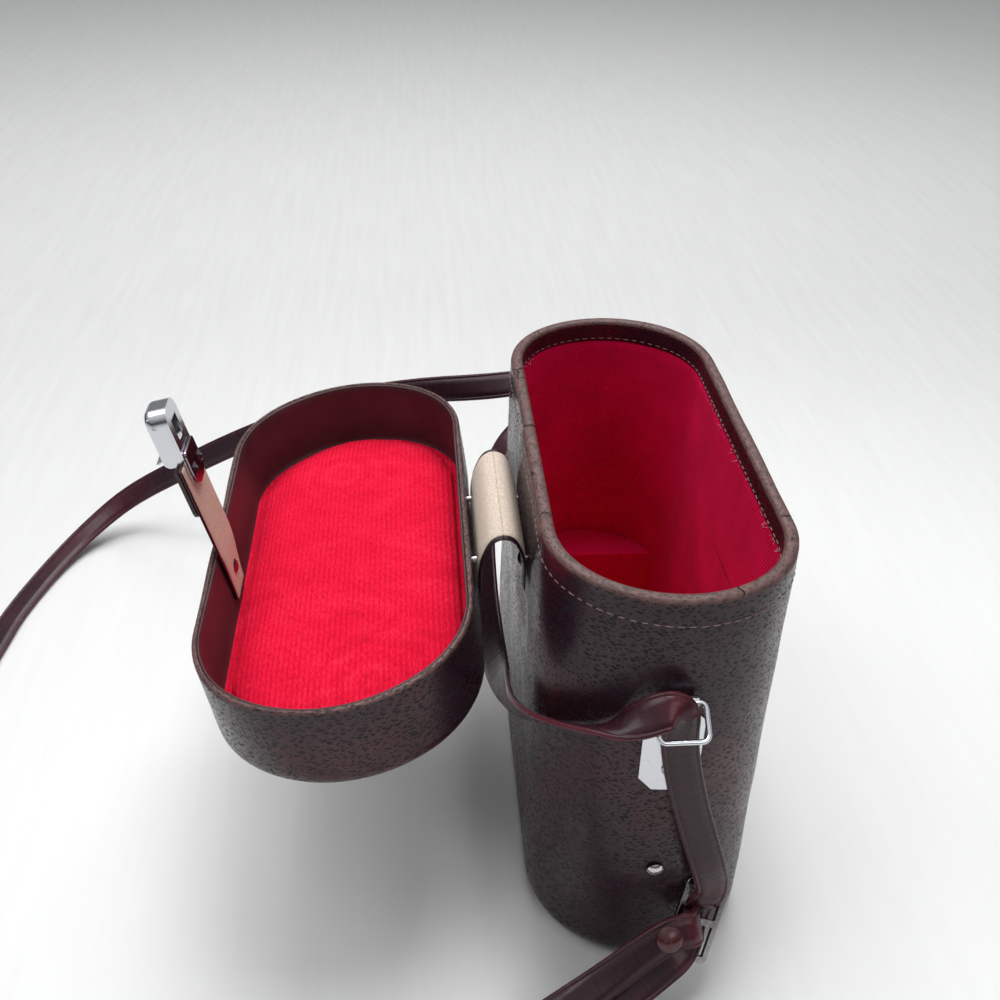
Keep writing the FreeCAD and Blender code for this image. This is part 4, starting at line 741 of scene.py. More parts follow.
def facing_material(name, colour):
    """Smooth paper-backed cloth, mottled and faintly grained."""
    material, graph, surface, link = new_material(name, Roughness=0.48)
    place = graph.place()
    mottled = graph.noise(place, 40.0, 4.0, 0.6)
    link(graph.mix(graph.span(mottled, 0.35, 0.7), tuple(colour), shaded(colour, 0.55)), surface["Base Color"])
    link(graph.bump(graph.noise(place, 1200.0, 3.0, 0.7), 0.0002, 0.6), surface["Normal"])
    return material


def floor_material(name, colour):
    """Pale brushed ground with painted shade far off and to the left, and a painted glow at the back that
    shows only to the eye and in mirrors.
    """
    material, graph, surface, link = new_material(
        name, Roughness=0.42, Specular_IOR_Level=0.35, Emission_Color=(1.0, 1.0, 0.995, 1))
    place = graph.place()
    parts = graph.split(place)
    brushed = graph.noise(graph.stretched(place, (1.0, 0.06, 1.0), (0, 0, 0.03)), 160.0, 4.0, 0.6)
    base = tuple(colour)
    # Painted shade: the floor is darkened far off and to the left, where less light falls.
    far_shade = graph.span(parts[1], -0.05, 0.5, smooth=True)
    tone = graph.mix(far_shade, base, shaded(base, 0.70))
    aside = graph.times(graph.span(parts[0], -0.1, -0.5, smooth=True),
                        graph.span(parts[1], 0.5, 0.0, smooth=True))
    tone = graph.mix(graph.times(aside, 0.2), tone, (0.1, 0.1, 0.1, 1))
    tone = graph.mix(graph.span(brushed, 0.3, 0.7, 0.0, 0.10), tone, (1.0, 1.0, 1.0, 1))
    link(tone, surface["Base Color"])
    # Painted light: the far floor glows for eye and mirror rays only, though it is no lamp.
    painted_glow = graph.times(graph.span(parts[1], 0.1, 0.9, smooth=True), 0.06)
    shows, _ = graph.shown()
    link(graph.times(painted_glow, shows), surface["Emission Strength"])
    return material


# Meshes
def linked(name, mesh):
    made = bpy.data.objects.new(name, mesh)
    bpy.context.scene.collection.objects.link(made)
    return made


def new_piece(name, points, faces, material, sheet=None, painted=None, smooth=True):
    """A mesh from points in millimetres; sheet gives a flat place in metres for each corner of each face."""
    mesh = bpy.data.meshes.new(name)
    mesh.from_pydata([Vector(p) * MM for p in points], [], faces)
    mesh.materials.append(material)
    if sheet:
        layer = mesh.uv_layers.new(name="UVMap")
        for polygon, corners in zip(mesh.polygons, sheet):
            for loop, spot in zip(polygon.loop_indices, corners):
                layer.data[loop].uv = spot
    for label, values in (painted or {}).items():
        attribute = mesh.attributes.new(label, "FLOAT", "POINT")
        attribute.data.foreach_set("value", values)
    for polygon in mesh.polygons:
        polygon.use_smooth = smooth
    mesh.update()
    return linked(name, mesh)


def woven_rows(rows, closed):
    """Faces and their flat corners for rows of (point, flat place); a closed row runs back to its start."""
    points = []
    faces = []
    corners = []
    count = len(rows[0][0])
    for row, _ in rows:
        points.extend(row)
    turns = count if closed else count - 1
    for level in range(len(rows) - 1):
        low = rows[level][1]
        high = rows[level + 1][1]
        for step in range(turns):
            after = (step + 1) % count
            faces.append((level * count + step, level * count + after,
                          (level + 1) * count + after, (level + 1) * count + step))
            corners.append((low[step], low[step + 1], high[step + 1], high[step]))
    return points, faces, corners


def outline(half_depth, side_radius, end_radius, half_width):
    """One turn from the middle of the hinge side: (x, y, facing x, facing y) in millimetres."""
    aside = half_depth - side_radius
    lean = math.acos(aside / (end_radius - side_radius))
    lift = math.sin(lean) * (end_radius - side_radius)
    straight_steps = 30
    side_steps = 18
    end_steps = 13
    end_centre = half_width - end_radius
    quarter = []
    for step in range(straight_steps):
        quarter.append((half_depth, (end_centre + lift) * step / straight_steps, 1.0, 0.0))
    for step in range(side_steps):
        turn = lean * step / side_steps
        quarter.append((aside + side_radius * math.cos(turn), end_centre + lift + side_radius * math.sin(turn),
                        math.cos(turn), math.sin(turn)))
    for step in range(end_steps + 1):
        turn = lean + (math.pi / 2 - lean) * step / end_steps
        quarter.append((end_radius * math.cos(turn), end_centre + end_radius * math.sin(turn),
                        math.cos(turn), math.sin(turn)))
    turn_round = []
    for across, along, order in ((-1, -1, 1), (1, -1, -1), (1, 1, 1), (-1, 1, -1)):
        part = quarter[:-1] if order == 1 else quarter[:0:-1]
        turn_round.extend((across * x, along * y, across * u, along * v) for x, y, u, v in part)
    return turn_round


def case_outline(level):
    half_width = CASE_HALF_WIDTH_TOP + CASE_SPREAD * (CASE_HEIGHT - level) / CASE_HEIGHT
    return outline(CASE_HALF_DEPTH, CASE_SIDE_RADIUS, CASE_END_RADIUS, half_width)


def lid_outline(level):
    return outline(LID_HALF_DEPTH, LID_SIDE_RADIUS, LID_END_RADIUS, LID_HALF_WIDTH)


def run_lengths(turn_round):
    """Length along the outline at each of its points, and once more round, in metres."""
    lengths = [0.0]
    for here, there in zip(turn_round, turn_round[1:] + turn_round[:1]):
        lengths.append(lengths[-1] + math.dist(here[:2], there[:2]) * MM)
    return lengths


def walls(profile, outline_at, moved=None):
    """Rows of points for a profile of (level, inset), with their flat places."""
    rows = []
    travelled = 0.0
    before = None
    for level, inset in profile:
        turn_round = outline_at(level)
        lengths = run_lengths(turn_round)
        if before:
            travelled += math.dist(before, (level, inset)) * MM
        before = (level, inset)
        row = []
        for x, y, u, v in turn_round:
            point = Vector((x - inset * u, y - inset * v, level))
            if moved:
                point = moved(point, Vector((u, v, 0)), inset)
            row.append(tuple(point))
        rows.append((row, [(length, travelled) for length in lengths]))
    return rows


def cap(points, faces, corners, first, count, upward):
    """Closes a turn of the outline with strips across it."""
    half = count // 2
    for step in range(half):
        near = first + step
        far = first + (count - step) % count
        near_next = first + step + 1
        far_next = first + count - step - 1
        loop = [near, near_next, far_next, far]
        loop = [corner for spot, corner in enumerate(loop) if corner not in loop[:spot]]
        if len(loop) < 3:
            continue
        if not upward:
            loop.reverse()
        faces.append(tuple(loop))
        corners.append([(points[c][0] * MM, points[c][1] * MM) for c in loop])


def closed_shell(name, profile, outline_at, material, moved=None, painted=None):
    """A shell turned along the outline, its first and last turn capped, facing outwards."""
    rows = walls(profile, outline_at, moved)
    points, faces, corners = woven_rows(rows, True)
    count = len(rows[0][0])
    cap(points, faces, corners, 0, count, False)
    cap(points, faces, corners, (len(rows) - 1) * count, count, True)
    values = {}
    for label, rule in (painted or {}).items():
        values[label] = [rule(level, inset, point)
                         for (level, inset), (row, _) in zip(profile, rows) for point in row]
    made = new_piece(name, points, faces, material, corners, values)
    outward(made)
    return made


def outward(piece):
    """Turns every face of a closed piece outwards."""
    work = bmesh.new()
    work.from_mesh(piece.data)
    bmesh.ops.recalc_face_normals(work, faces=work.faces)
    work.to_mesh(piece.data)
    work.free()


def arc(centre, radius, start, stop, steps):
    """(level, inset) points of a rounding; angle 0 points outwards and 90 degrees up."""
    spots = []
    for step in range(steps + 1):
        turn = math.radians(start + (stop - start) * step / steps)
        spots.append((centre[0] + radius * math.sin(turn), centre[1] - radius * math.cos(turn)))
    return spots


def levels(start, stop, inset, step=2.5):
    """(level, inset) points between two levels, without the two."""
    count = max(1, round(abs(stop - start) / step))
    return [(start + (stop - start) * i / count, inset) for i in range(1, count)]


def opened(point):
    """A place on the shut lid, moved to where it lies with the lid thrown open."""
    c = math.cos(OPEN_ANGLE)
    s = math.sin(OPEN_ANGLE)
    x = point[0] - PIVOT_X
    z = point[2] - PIVOT_Z
    return (PIVOT_X + x * c - z * s, point[1], PIVOT_Z + x * s + z * c)


def clasp_place(u, v, w):
    """A place on the clasp strap: u off its face, v across it, w along it from the lid."""
    c = math.cos(CLASP_ANGLE)
    s = math.sin(CLASP_ANGLE)
    return (CLASP_ORIGIN[0] + u * c + w * s, CLASP_ORIGIN[1] + v, CLASP_ORIGIN[2] + u * s - w * c)


def softened_copy(node, name, edge, material, body, segments=2, reshaped=None):
    """A copy of a CAD node with rounded edges that stands for the node; reshaped moves its points."""
    work = bmesh.new()
    work.from_mesh(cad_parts[node].data)
    bmesh.ops.remove_doubles(work, verts=work.verts, dist=2e-6)
    bmesh.ops.dissolve_limit(work, angle_limit=math.radians(1.0), verts=work.verts, edges=work.edges)
    plain = bpy.data.meshes.new(name + "_plain")
    work.to_mesh(plain)
    work.free()
    mesh = bpy.data.meshes.new(name)
    places = [reshaped(v.co) if reshaped else v.co for v in plain.vertices]
    mesh.from_pydata(places, [], [tuple(p.vertices) for p in plain.polygons])
    bpy.data.meshes.remove(plain)
    mesh.materials.append(material)
    for polygon in mesh.polygons:
        polygon.use_smooth = True
    mesh.set_sharp_from_angle(angle=SMOOTH_BELOW)
    piece = linked(name, mesh)
    if edge:
        bevel = piece.modifiers.new("rounded edges", "BEVEL")
        bevel.width = edge * MM
        bevel.segments = segments
        bevel.limit_method = "ANGLE"
        bevel.angle_limit = SMOOTH_BELOW
        bevel.harden_normals = True
    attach(piece, body)
    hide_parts(node)
    return piece


# Pieces
def wall_shape(settings):
    """How the stiff wall strays: waves, a dent above the near ring, the lap, and puckers at the end rivets."""
    waviness = settings.waviness / MM
    rivets = [(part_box(node)[0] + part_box(node)[1]) / 2 / MM for node in ("end_rivet_near", "end_rivet_far")]

    def moved(point, facing, inset):
        outer = max(0.0, 1.0 - inset / 2.0)
        if outer <= 0:
            return point
        low = min(1.0, point.z / 30.0)
        swell = waviness * noise.noise(point / 34.0) * 1.6 + 0.3 * waviness * noise.noise(point / 11.0)
        if point.y < 0:
            across = (point.x - DENT_X) / DENT_HALF_WIDTH
            down = (point.z - DENT_LEVEL) / DENT_HALF_HEIGHT
            swell -= DENT_DEPTH * math.exp(-across * across - down * down)
        for rivet in rivets:
            if rivet.y * point.y < 0:
                continue
            x = point.x - rivet.x
            z = point.z - rivet.z
            reach = math.hypot(x, z)
            if reach < PUCKER_REACH:
                folds = math.cos(9 * math.atan2(z, x) + 2.0 * noise.noise(point / 7.0))
                swell += PUCKER * folds * (reach / 5.0) * math.exp(-reach / 5.0)
                swell -= PUCKER_PIT * math.exp(-(reach / 6.0) ** 2)
        behind = SEAM_Y - point.y
        if point.x < SEAM_SIDE_X and 0 < behind < LAP_FADE:
            swell += LAP_PROUD * (1.0 - behind / LAP_FADE)
        return point + facing * (swell * outer * low)
    return moved


def creases(level, inset, point):
    """The dark line of the lap at the back."""
    x, y, z = point
    if x < SEAM_SIDE_X and abs(y - SEAM_Y) < SEAM_HALF_WIDTH and z > 20:
        return max(0.0, 1.0 - abs(y - SEAM_Y) / SEAM_HALF_WIDTH)
    return 0.0


def make_case_wall(context):
    settings = context.scene.hard_case_covering
    material = covering_material("case_leathercloth", settings)
    rim_inset = WALL + TURN_IN_PROUD
    profile = arc((BASE_ROUND, BASE_ROUND), BASE_ROUND, -90, 0, 8)
    profile += levels(BASE_ROUND, CASE_HEIGHT - RIM_ROUND, 0.0, 2.0)
    profile += arc((CASE_HEIGHT - RIM_ROUND, RIM_ROUND), RIM_ROUND, 0, 80, 5)
    profile += [(CASE_HEIGHT + 0.05, RIM_ROUND + 0.7)]
    profile += [(CASE_HEIGHT - RIM_ROUND + RIM_ROUND * math.cos(math.radians(turn)),
                 rim_inset - RIM_ROUND + RIM_ROUND * math.sin(math.radians(turn)))
                for turn in (0, 20, 40, 60, 80, 90)]
    profile += levels(CASE_HEIGHT - RIM_ROUND, TURN_IN_LEVEL + 0.4, rim_inset, 2.0)
    profile += [(TURN_IN_LEVEL + 0.4, rim_inset - 0.05), (TURN_IN_LEVEL, rim_inset - 0.5),
                (TURN_IN_LEVEL, SHELL_WALL + 0.3), (TURN_IN_LEVEL - 3, SHELL_WALL), (BASE_ROUND, SHELL_WALL),
                (FLOOR_LEVEL - 1.6, BASE_ROUND)]

    def worn(level, inset, point):
        if level > CASE_HEIGHT - 0.9 * RIM_ROUND and inset < rim_inset:
            return 1.0
        if inset >= rim_inset - 0.6:
            return max(0.0, 0.35 - (CASE_HEIGHT - level) / 12.0)
        top = max(0.0, 1.0 - (CASE_HEIGHT - level) / 3.0)
        foot = 0.6 * max(0.0, 1.0 - level / 9.0)
        return max(0.8 * top, foot)

    piece = closed_shell("case_wall", profile, case_outline, material, wall_shape(settings),
                         {"worn": worn, "creased": creases})
    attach(piece, "case")
    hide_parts("case_covering", "case_board")


def make_lining(context):
    settings = context.scene.hard_case_lining
    material = cloth_material("red_lining", settings.colour, CLOTH_WEAVE, 0.68)
    outer = SHELL_WALL + 0.12

    def moved(point, facing, inset):
        if inset < WALL - 0.1 or point.z < 12:
            return point
        swell = 0.35 * noise.noise(point / 23.0) + 0.10 * noise.noise(point / 6.0)
        return point - facing * max(0.0, 0.25 + swell)

    profile = [(FLOOR_LEVEL - 1.4, BASE_ROUND), (BASE_ROUND, outer)]
    profile += levels(BASE_ROUND, LINING_EDGE, outer, 40)
    profile += [(LINING_EDGE, outer), (LINING_TOP, outer + 0.2)]
    profile += [(LINING_TOP, WALL - 0.2), (LINING_EDGE, WALL)]
    profile += levels(LINING_EDGE, BASE_ROUND, WALL, 4.0)
    profile += [(BASE_ROUND, WALL), (FLOOR_LEVEL + 1.2, WALL + 1.2), (FLOOR_LEVEL, BASE_ROUND)]
    piece = closed_shell("case_red_lining", profile, case_outline, material, moved)
    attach(piece, "case")
    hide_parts("case_lining")
    for node in ("floor_pad", "end_block_near", "end_block_far"):
        red = cloth_material(node + "_red", settings.colour, CLOTH_WEAVE, 0.85, False)
        softened_copy(node, node + "_cloth", 1.2, red, "case", 3)


def make_frays(context):
    """Loose thread ends under the edge of the turned-in leathercloth."""
    chance = random.Random(4)
    turn_round = case_outline(TURN_IN_LEVEL)
    near = [p for p in turn_round if p[0] > 30 and -66 < p[1] < -38]
    front = [p for p in turn_round if p[0] > 30 and -30 < p[1] < 60]
    back = [p for p in turn_round if p[0] < -25 and 20 < p[1] < 85]
    points = []
    faces = []
    for group, many in ((near, 16), (front, 10), (back, 16), (turn_round, 10)):
        for _ in range(many):
            x, y, u, v = chance.choice(group)
            inset = WALL + 0.3
            spot = Vector((x - inset * u, y - inset * v, TURN_IN_LEVEL + chance.uniform(-0.6, 0.4)))
            way = Vector((-u * chance.uniform(0.3, 1.0) - v * chance.uniform(-1.2, 1.2),
                          -v * chance.uniform(0.3, 1.0) + u * chance.uniform(-1.2, 1.2),
                          chance.uniform(-1.2, 0.5)))
            curl = Vector([chance.uniform(-0.5, 0.5) for _ in range(3)])
            step = chance.uniform(0.25, 0.7)
            first = len(points)
            for place in range(5):
                thick = 0.11 - 0.015 * place
                aside = way.orthogonal().normalized() * thick
                other = way.normalized().cross(aside)
                points += [tuple(spot + aside), tuple(spot + other), tuple(spot - aside), tuple(spot - other)]
                spot = spot + way.normalized() * step
                way = way + curl
            for place in range(4):
                low = first + 4 * place
                faces += [(low + i, low + (i + 1) % 4, low + 4 + (i + 1) % 4, low + 4 + i) for i in range(4)]
            faces += [(first + 3, first + 2, first + 1, first), tuple(first + 16 + i for i in range(4))]
    pale = thread_material("frayed_thread", context.scene.hard_case_sewing.fray_colour)
    piece = new_piece("frayed_threads", points, faces, pale)
    outward(piece)
    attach(piece, "case")


def make_lid(context):
    settings = context.scene.hard_case_covering
    material = covering_material("lid_leathercloth", settings)
    rim = 1.3
    profile = [(LID_TOP_LEVEL, LID_ROUND + 4.0)]
    profile += [(LID_TOP_LEVEL - LID_ROUND + LID_ROUND * math.cos(math.radians(t)),
                 LID_ROUND - LID_ROUND * math.sin(math.radians(t))) for t in range(0, 91, 10)]
    profile += levels(LID_TOP_LEVEL - LID_ROUND, LID_RIM_LEVEL + rim, 0.0, 2.0)
    profile += arc((LID_RIM_LEVEL + rim, rim), rim, 0, -90, 4)
    profile += [(LID_RIM_LEVEL, LID_SHELL_WALL - 0.4), (LID_RIM_LEVEL + 0.3, LID_SHELL_WALL)]
    profile += [(LID_PAD_LEVEL, LID_SHELL_WALL), (LID_PAD_LEVEL + 1.0, LID_ROUND)]

    def moved(point, facing, inset):
        outer = max(0.0, 1.0 - inset / 1.2)
        swell = settings.waviness / MM * 1.3 * noise.noise(point / 31.0 + Vector((7, 3, 1)))
        point = point + facing * (swell * outer)
        return Vector(opened(point))

    def worn(level, inset, point):
        if level < LID_RIM_LEVEL + 0.9:
            return 0.7
        top = max(0.0, 1.0 - (level - LID_RIM_LEVEL) / 2.4)
        return max(0.6 * top, 0.5 if level > LID_TOP_LEVEL - 3 and inset < 6 else 0.0)

    def lap(level, inset, point):
        aside = abs(point[1] - LID_SEAM_Y)
        if inset < 2 and point[0] > -70 and aside < LID_SEAM_HALF_WIDTH:
            return max(0.0, 1.0 - aside / LID_SEAM_HALF_WIDTH)
        return 0.0

    piece = closed_shell("lid_wall", profile, lid_outline, material, moved, {"worn": worn, "creased": lap})
    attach(piece, "lid")
    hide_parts("lid_covering", "lid_board")

    face = facing_material("lid_facing_cloth", context.scene.hard_case_lining.facing_colour)
    inner = LID_SHELL_WALL + 0.1
    profile = [(LID_PAD_LEVEL - 0.2, LID_ROUND), (LID_PAD_LEVEL - 1.0, inner)]
    profile += levels(LID_PAD_LEVEL - 1, LID_RIM_LEVEL + 1.0, inner, 4)
    profile += [(LID_RIM_LEVEL + 0.8, inner), (LID_RIM_LEVEL + 0.4, inner + 0.3),
                (LID_RIM_LEVEL + 0.5, LID_WALL - 0.2), (LID_RIM_LEVEL + 0.9, LID_WALL)]
    profile += levels(LID_RIM_LEVEL + 0.9, LID_PAD_LEVEL - 2, LID_WALL, 3)
    profile += [(LID_PAD_LEVEL - 1.6, LID_WALL + 0.2), (LID_PAD_LEVEL - 1.2, LID_ROUND)]

    def facing_moved(point, facing, inset):
        if inset > LID_WALL - 0.3:
            point = point - facing * max(0.0, 0.15 + 0.25 * noise.noise(point / 19.0))
        return Vector(opened(point))

    piece = closed_shell("lid_inner_facing", profile, lid_outline, face, facing_moved)
    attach(piece, "lid")
    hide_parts("lid_facing", "lid_pad_board")


def pad_turn(inset):
    spots = outline(LID_HALF_DEPTH - LID_PAD_GAP - inset, LID_SIDE_RADIUS - LID_PAD_GAP - inset,
                    LID_END_RADIUS - LID_PAD_GAP - inset, LID_HALF_WIDTH - LID_PAD_GAP - inset)
    return [(x, y) for x, y, _, _ in spots]


def blow_up(stuffing):
    """Swells a closed form as cloth under pressure, as far as it may, and smooths it."""
    remesh = stuffing.modifiers.new("remesh", "REMESH")
    remesh.mode = "VOXEL"
    remesh.voxel_size = PAD_VOXEL
    bpy.context.view_layer.update()
    graph = bpy.context.evaluated_depsgraph_get()
    mesh = bpy.data.meshes.new_from_object(stuffing.evaluated_get(graph))
    stuffing.modifiers.clear()
    stuffing.data = mesh
    start = [v.co.copy() for v in mesh.vertices]
    pinned = stuffing.vertex_groups.new(name="glued")
    pinned.add([v.index for v in mesh.vertices if v.co.z < PAD_GLUED_BELOW], 1.0, "REPLACE")
    cloth = stuffing.modifiers.new("cloth", "CLOTH")
    cloth.settings.quality = 5
    cloth.settings.use_pressure = True
    cloth.settings.uniform_pressure_force = 4.0
    cloth.settings.effector_weights.gravity = 0.0
    cloth.settings.vertex_group_mass = "glued"
    cloth.settings.tension_stiffness = 40
    cloth.settings.compression_stiffness = 40
    cloth.settings.bending_stiffness = 2.0
    cloth.point_cache.frame_start = 1
    cloth.point_cache.frame_end = PAD_FRAMES
    scene = bpy.context.scene
    for step in range(1, PAD_FRAMES + 1):
        scene.frame_set(step)
    graph = bpy.context.evaluated_depsgraph_get()
    blown = bpy.data.meshes.new_from_object(stuffing.evaluated_get(graph))
    scene.frame_set(1)
    stuffing.modifiers.clear()
    for vertex, origin in zip(blown.vertices, start):
        shift = vertex.co - origin
        if shift.length > PAD_MOST_SWELL:
            vertex.co = origin + shift * (PAD_MOST_SWELL / shift.length)
    skin = bmesh.new()
    skin.from_mesh(blown)
    for _ in range(PAD_SMOOTHINGS):
        bmesh.ops.smooth_vert(skin, verts=skin.verts, factor=0.5,
                              use_axis_x=True, use_axis_y=True, use_axis_z=True)
    skin.to_mesh(blown)
    skin.free()
    stuffing.data = blown


def swollen_cushion():
    """The pad's stuffing: a low form blown up as cloth, as a tree of its faces."""
    rows = []
    for inset, height in PAD_FORM:
        turn = [(x, y, height) for x, y in pad_turn(inset)]
        rows.append((turn, [(0, 0)] * (len(turn) + 1)))
    points, faces, corners = woven_rows(rows, True)
    count = len(rows[0][0])
    cap(points, faces, corners, 0, count, False)
    cap(points, faces, corners, (len(rows) - 1) * count, count, True)
    stuffing = new_piece("pad_stuffing", points, faces, bpy.data.materials.new("stuffing"))
    outward(stuffing)
    blow_up(stuffing)
    tree = BVHTree.FromPolygons([v.co / MM for v in stuffing.data.vertices],
                                [tuple(p.vertices) for p in stuffing.data.polygons])
    bpy.data.objects.remove(stuffing)
    return tree


def make_cushion(context):
    settings = context.scene.hard_case_cushion
    material = corduroy_material("red_corduroy", settings.colour)
    tree = swollen_cushion()
    pitch = settings.rib_pitch / MM
    height = settings.rib_height / MM
    turn = pad_turn(0.0)
    half_depth = max(x for x, _ in turn)
    quarter = sorted((x, y) for x, y in turn if x >= -1e-6 and y >= -1e-6)

    def reach(x):
        """How far the pad reaches along at this place across it."""
        x = abs(x)
        best = 0.0
        for (ax, ay), (bx, by) in zip(quarter, quarter[1:]):
            if ax <= x <= bx and bx > ax:
                best = max(best, ay + (by - ay) * (x - ax) / (bx - ax))
        if x > half_depth - 0.05:
            best = max(best, max(y for px, y in quarter if px > half_depth - 0.01))
        return best

    columns = int(2 * half_depth / pitch) * 6
    rows = 84
    top = []
    sheet = []
    groove = []
    for i in range(columns + 1):
        x = -half_depth + 2 * half_depth * i / columns
        far = reach(x)
        for j in range(rows + 1):
            even = -1 + 2 * j / rows
            share = 0.5 * math.sin(math.pi / 2 * even) + 0.5 * even
            y = far * share
            spot = Vector((x * 0.998, y * 0.998, 40.0))
            hit = tree.ray_cast(spot, Vector((0, 0, -1)))[0]
            level = hit.z if hit else 1.0
            wave = abs(math.sin(math.pi * (x / pitch + 0.10 * noise.noise(Vector((x / 9, y / 14, 3))))))
            rib = wave ** 0.55
            rub = 0.72 + 0.5 * noise.noise(Vector((x / 16, y / 24, 9)))
            level += height * rub * (rib - 0.5)
            level += 0.55 * noise.noise(Vector((x / 21, y / 27, 5)))
            level += 0.18 * noise.noise(Vector((x / 7, y / 9, 2)))
            top.append((x, y, max(level, 0.6)))
            sheet.append((x * MM, y * MM))
            # Depth in the groove between ribs at each point, where the pad's material paints shade.
            groove.append(1.0 - rib)
    count = rows + 1
    total = len(top)
    points = [opened((x, y, PAD_FOOT_LEVEL - z)) for x, y, z in top]
    points += [opened((x * 0.995, y * 0.995, PAD_FOOT_LEVEL)) for x, y, _ in top]
    faces = []
    corners = []

    def add(*loop):
        faces.append(loop)
        corners.append([sheet[c % total] for c in loop])

    for i in range(columns):
        for j in range(rows):
            a = i * count + j
            add(a, a + count, a + count + 1, a + 1)
            add(total + a, total + a + 1, total + a + count + 1, total + a + count)
    for i in range(columns):
        a = i * count
        add(a, total + a, total + a + count, a + count)
        b = i * count + rows
        add(b, b + count, total + b + count, total + b)
    for j in range(rows):
        add(j, j + 1, total + j + 1, total + j)
        b = columns * count + j
        add(b, total + b, total + b + 1, b + 1)
    piece = new_piece("lid_corduroy_pad", points, faces, material, corners, {"groove": groove + [0.0] * total})
    outward(piece)
    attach(piece, "lid")
    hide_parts("lid_pad")


def closed_band(rows):
    """Faces of a band from its rows, with both its ends closed."""
    points, faces, corners = woven_rows(rows, True)
    count = len(rows[0][0])
    last = (len(rows) - 1) * count
    for first, turned in ((0, True), (last, False)):
        loop = tuple(range(first, first + count))
        faces.append(loop[::-1] if turned else loop)
        corners.append([(0, 0)] * count)
    return points, faces, corners


def leather_band(name, path, material, thickness, width_at, middle, rough_outside):
    """A leather band along (x, z, out x, out z) places, across Y, with rounded edges."""
    flesh = []
    travelled = 0.0
    previous = None
    section = []
    steps = 14
    round_from = 0.93
    for side in (1, -1):
        for i in range(steps + 1):
            share = -1 + 2 * i / steps
            share = share if side == 1 else -share
            beyond = max(0.0, (abs(share) - round_from) / (1 - round_from))
            thin = 0.5 * thickness * math.sqrt(max(0.05, 1 - beyond ** 2))
            section.append((share, side * thin, side))
    rows = []
    for spot, (x, z, ox, oz) in enumerate(path):
        if previous:
            travelled += math.dist(previous, (x, z)) * MM
        previous = (x, z)
        half = width_at(spot / (len(path) - 1))
        row = []
        flat = []
        for share, lift, side in section:
            row.append((x + ox * lift, middle + share * half, z + oz * lift))
            flat.append((share * half * MM, travelled))
            flesh.append(1.0 if (side == 1) == rough_outside and abs(share) < 0.985 else 0.0)
        flat.append(flat[0])
        rows.append((row, flat))
    points, faces, corners = closed_band(rows)
    piece = new_piece(name, points, faces, material, corners, {"flesh": flesh})
    outward(piece)
    return piece


def smooth_path(spots, steps):
    """Places along a smooth line through the given ones, each with the way out from it."""
    line = []
    for i in range(len(spots) - 1):
        p0 = Vector(spots[max(0, i - 1)])
        p1 = Vector(spots[i])
        p2 = Vector(spots[i + 1])
        p3 = Vector(spots[min(len(spots) - 1, i + 2)])
        for step in range(steps):
            t = step / steps
            line.append(0.5 * ((2 * p1) + (p2 - p0) * t + (2 * p0 - 5 * p1 + 4 * p2 - p3) * t * t
                               + (3 * p1 - p0 - 3 * p2 + p3) * t ** 3))
    line.append(Vector(spots[-1]))
    path = []
    for i, spot in enumerate(line):
        ahead = line[min(i + 1, len(line) - 1)] - line[max(i - 1, 0)]
        ahead.normalize()
        path.append((spot.x, spot.y, -ahead.y, ahead.x))
    return path


def make_hinge(context):
    settings = context.scene.hard_case_hinge
    material = two_sided_leather("hinge_hide", settings.flesh_colour, settings.grain_colour)
    low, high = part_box("hinge_arch")
    arch_top = high.z / MM - 0.9
    case_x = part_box("hinge_leaf_case")[0].x / MM
    lid_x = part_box("hinge_leaf_lid")[1].x / MM
    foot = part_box("hinge_leaf_case")[0].z / MM
    spots = ((case_x + 0.9, foot), (case_x + 0.9, foot + 9), (case_x - 0.2, 137),
             (case_x - 3.2, arch_top - 2.0), ((case_x + lid_x) / 2, arch_top), (lid_x + 3.2, arch_top - 2.2),
             (lid_x + 0.2, 137), (lid_x - 0.8, foot + 9), (lid_x - 0.8, foot))
    path = smooth_path(spots, 6)
    middle = (low.y + high.y) / 2 / MM
    half = (high.y - low.y) / 2 / MM
    crown = max(range(len(path)), key=lambda index: path[index][1])
    reach = 2 * path[crown][1] - ARCH_SPRING
    thickness = settings.thickness / MM
    halves = (("hinge_leather_case_side", path[:crown + 1], ("hinge_leaf_case", "hinge_arch"),
               ARCH_SPRING, reach),
              ("hinge_leather_lid_side", path[crown:], ("hinge_leaf_lid",), reach, ARCH_SPRING))
    for name, part, nodes, first, last in halves:
        piece = leather_band(name, part, material, thickness, lambda share: half, middle, False)
        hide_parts(*nodes)
        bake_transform(piece)
    metal = metal_material("hinge_rivet_metal", (0.55, 0.54, 0.55, 1), 0.2)
    softened_copy("hinge_rivets_case", "hinge_rivet_heads_case", 0.25, metal, "case")
    softened_copy("hinge_rivets_lid", "hinge_rivet_heads_lid", 0.25, metal, "lid")


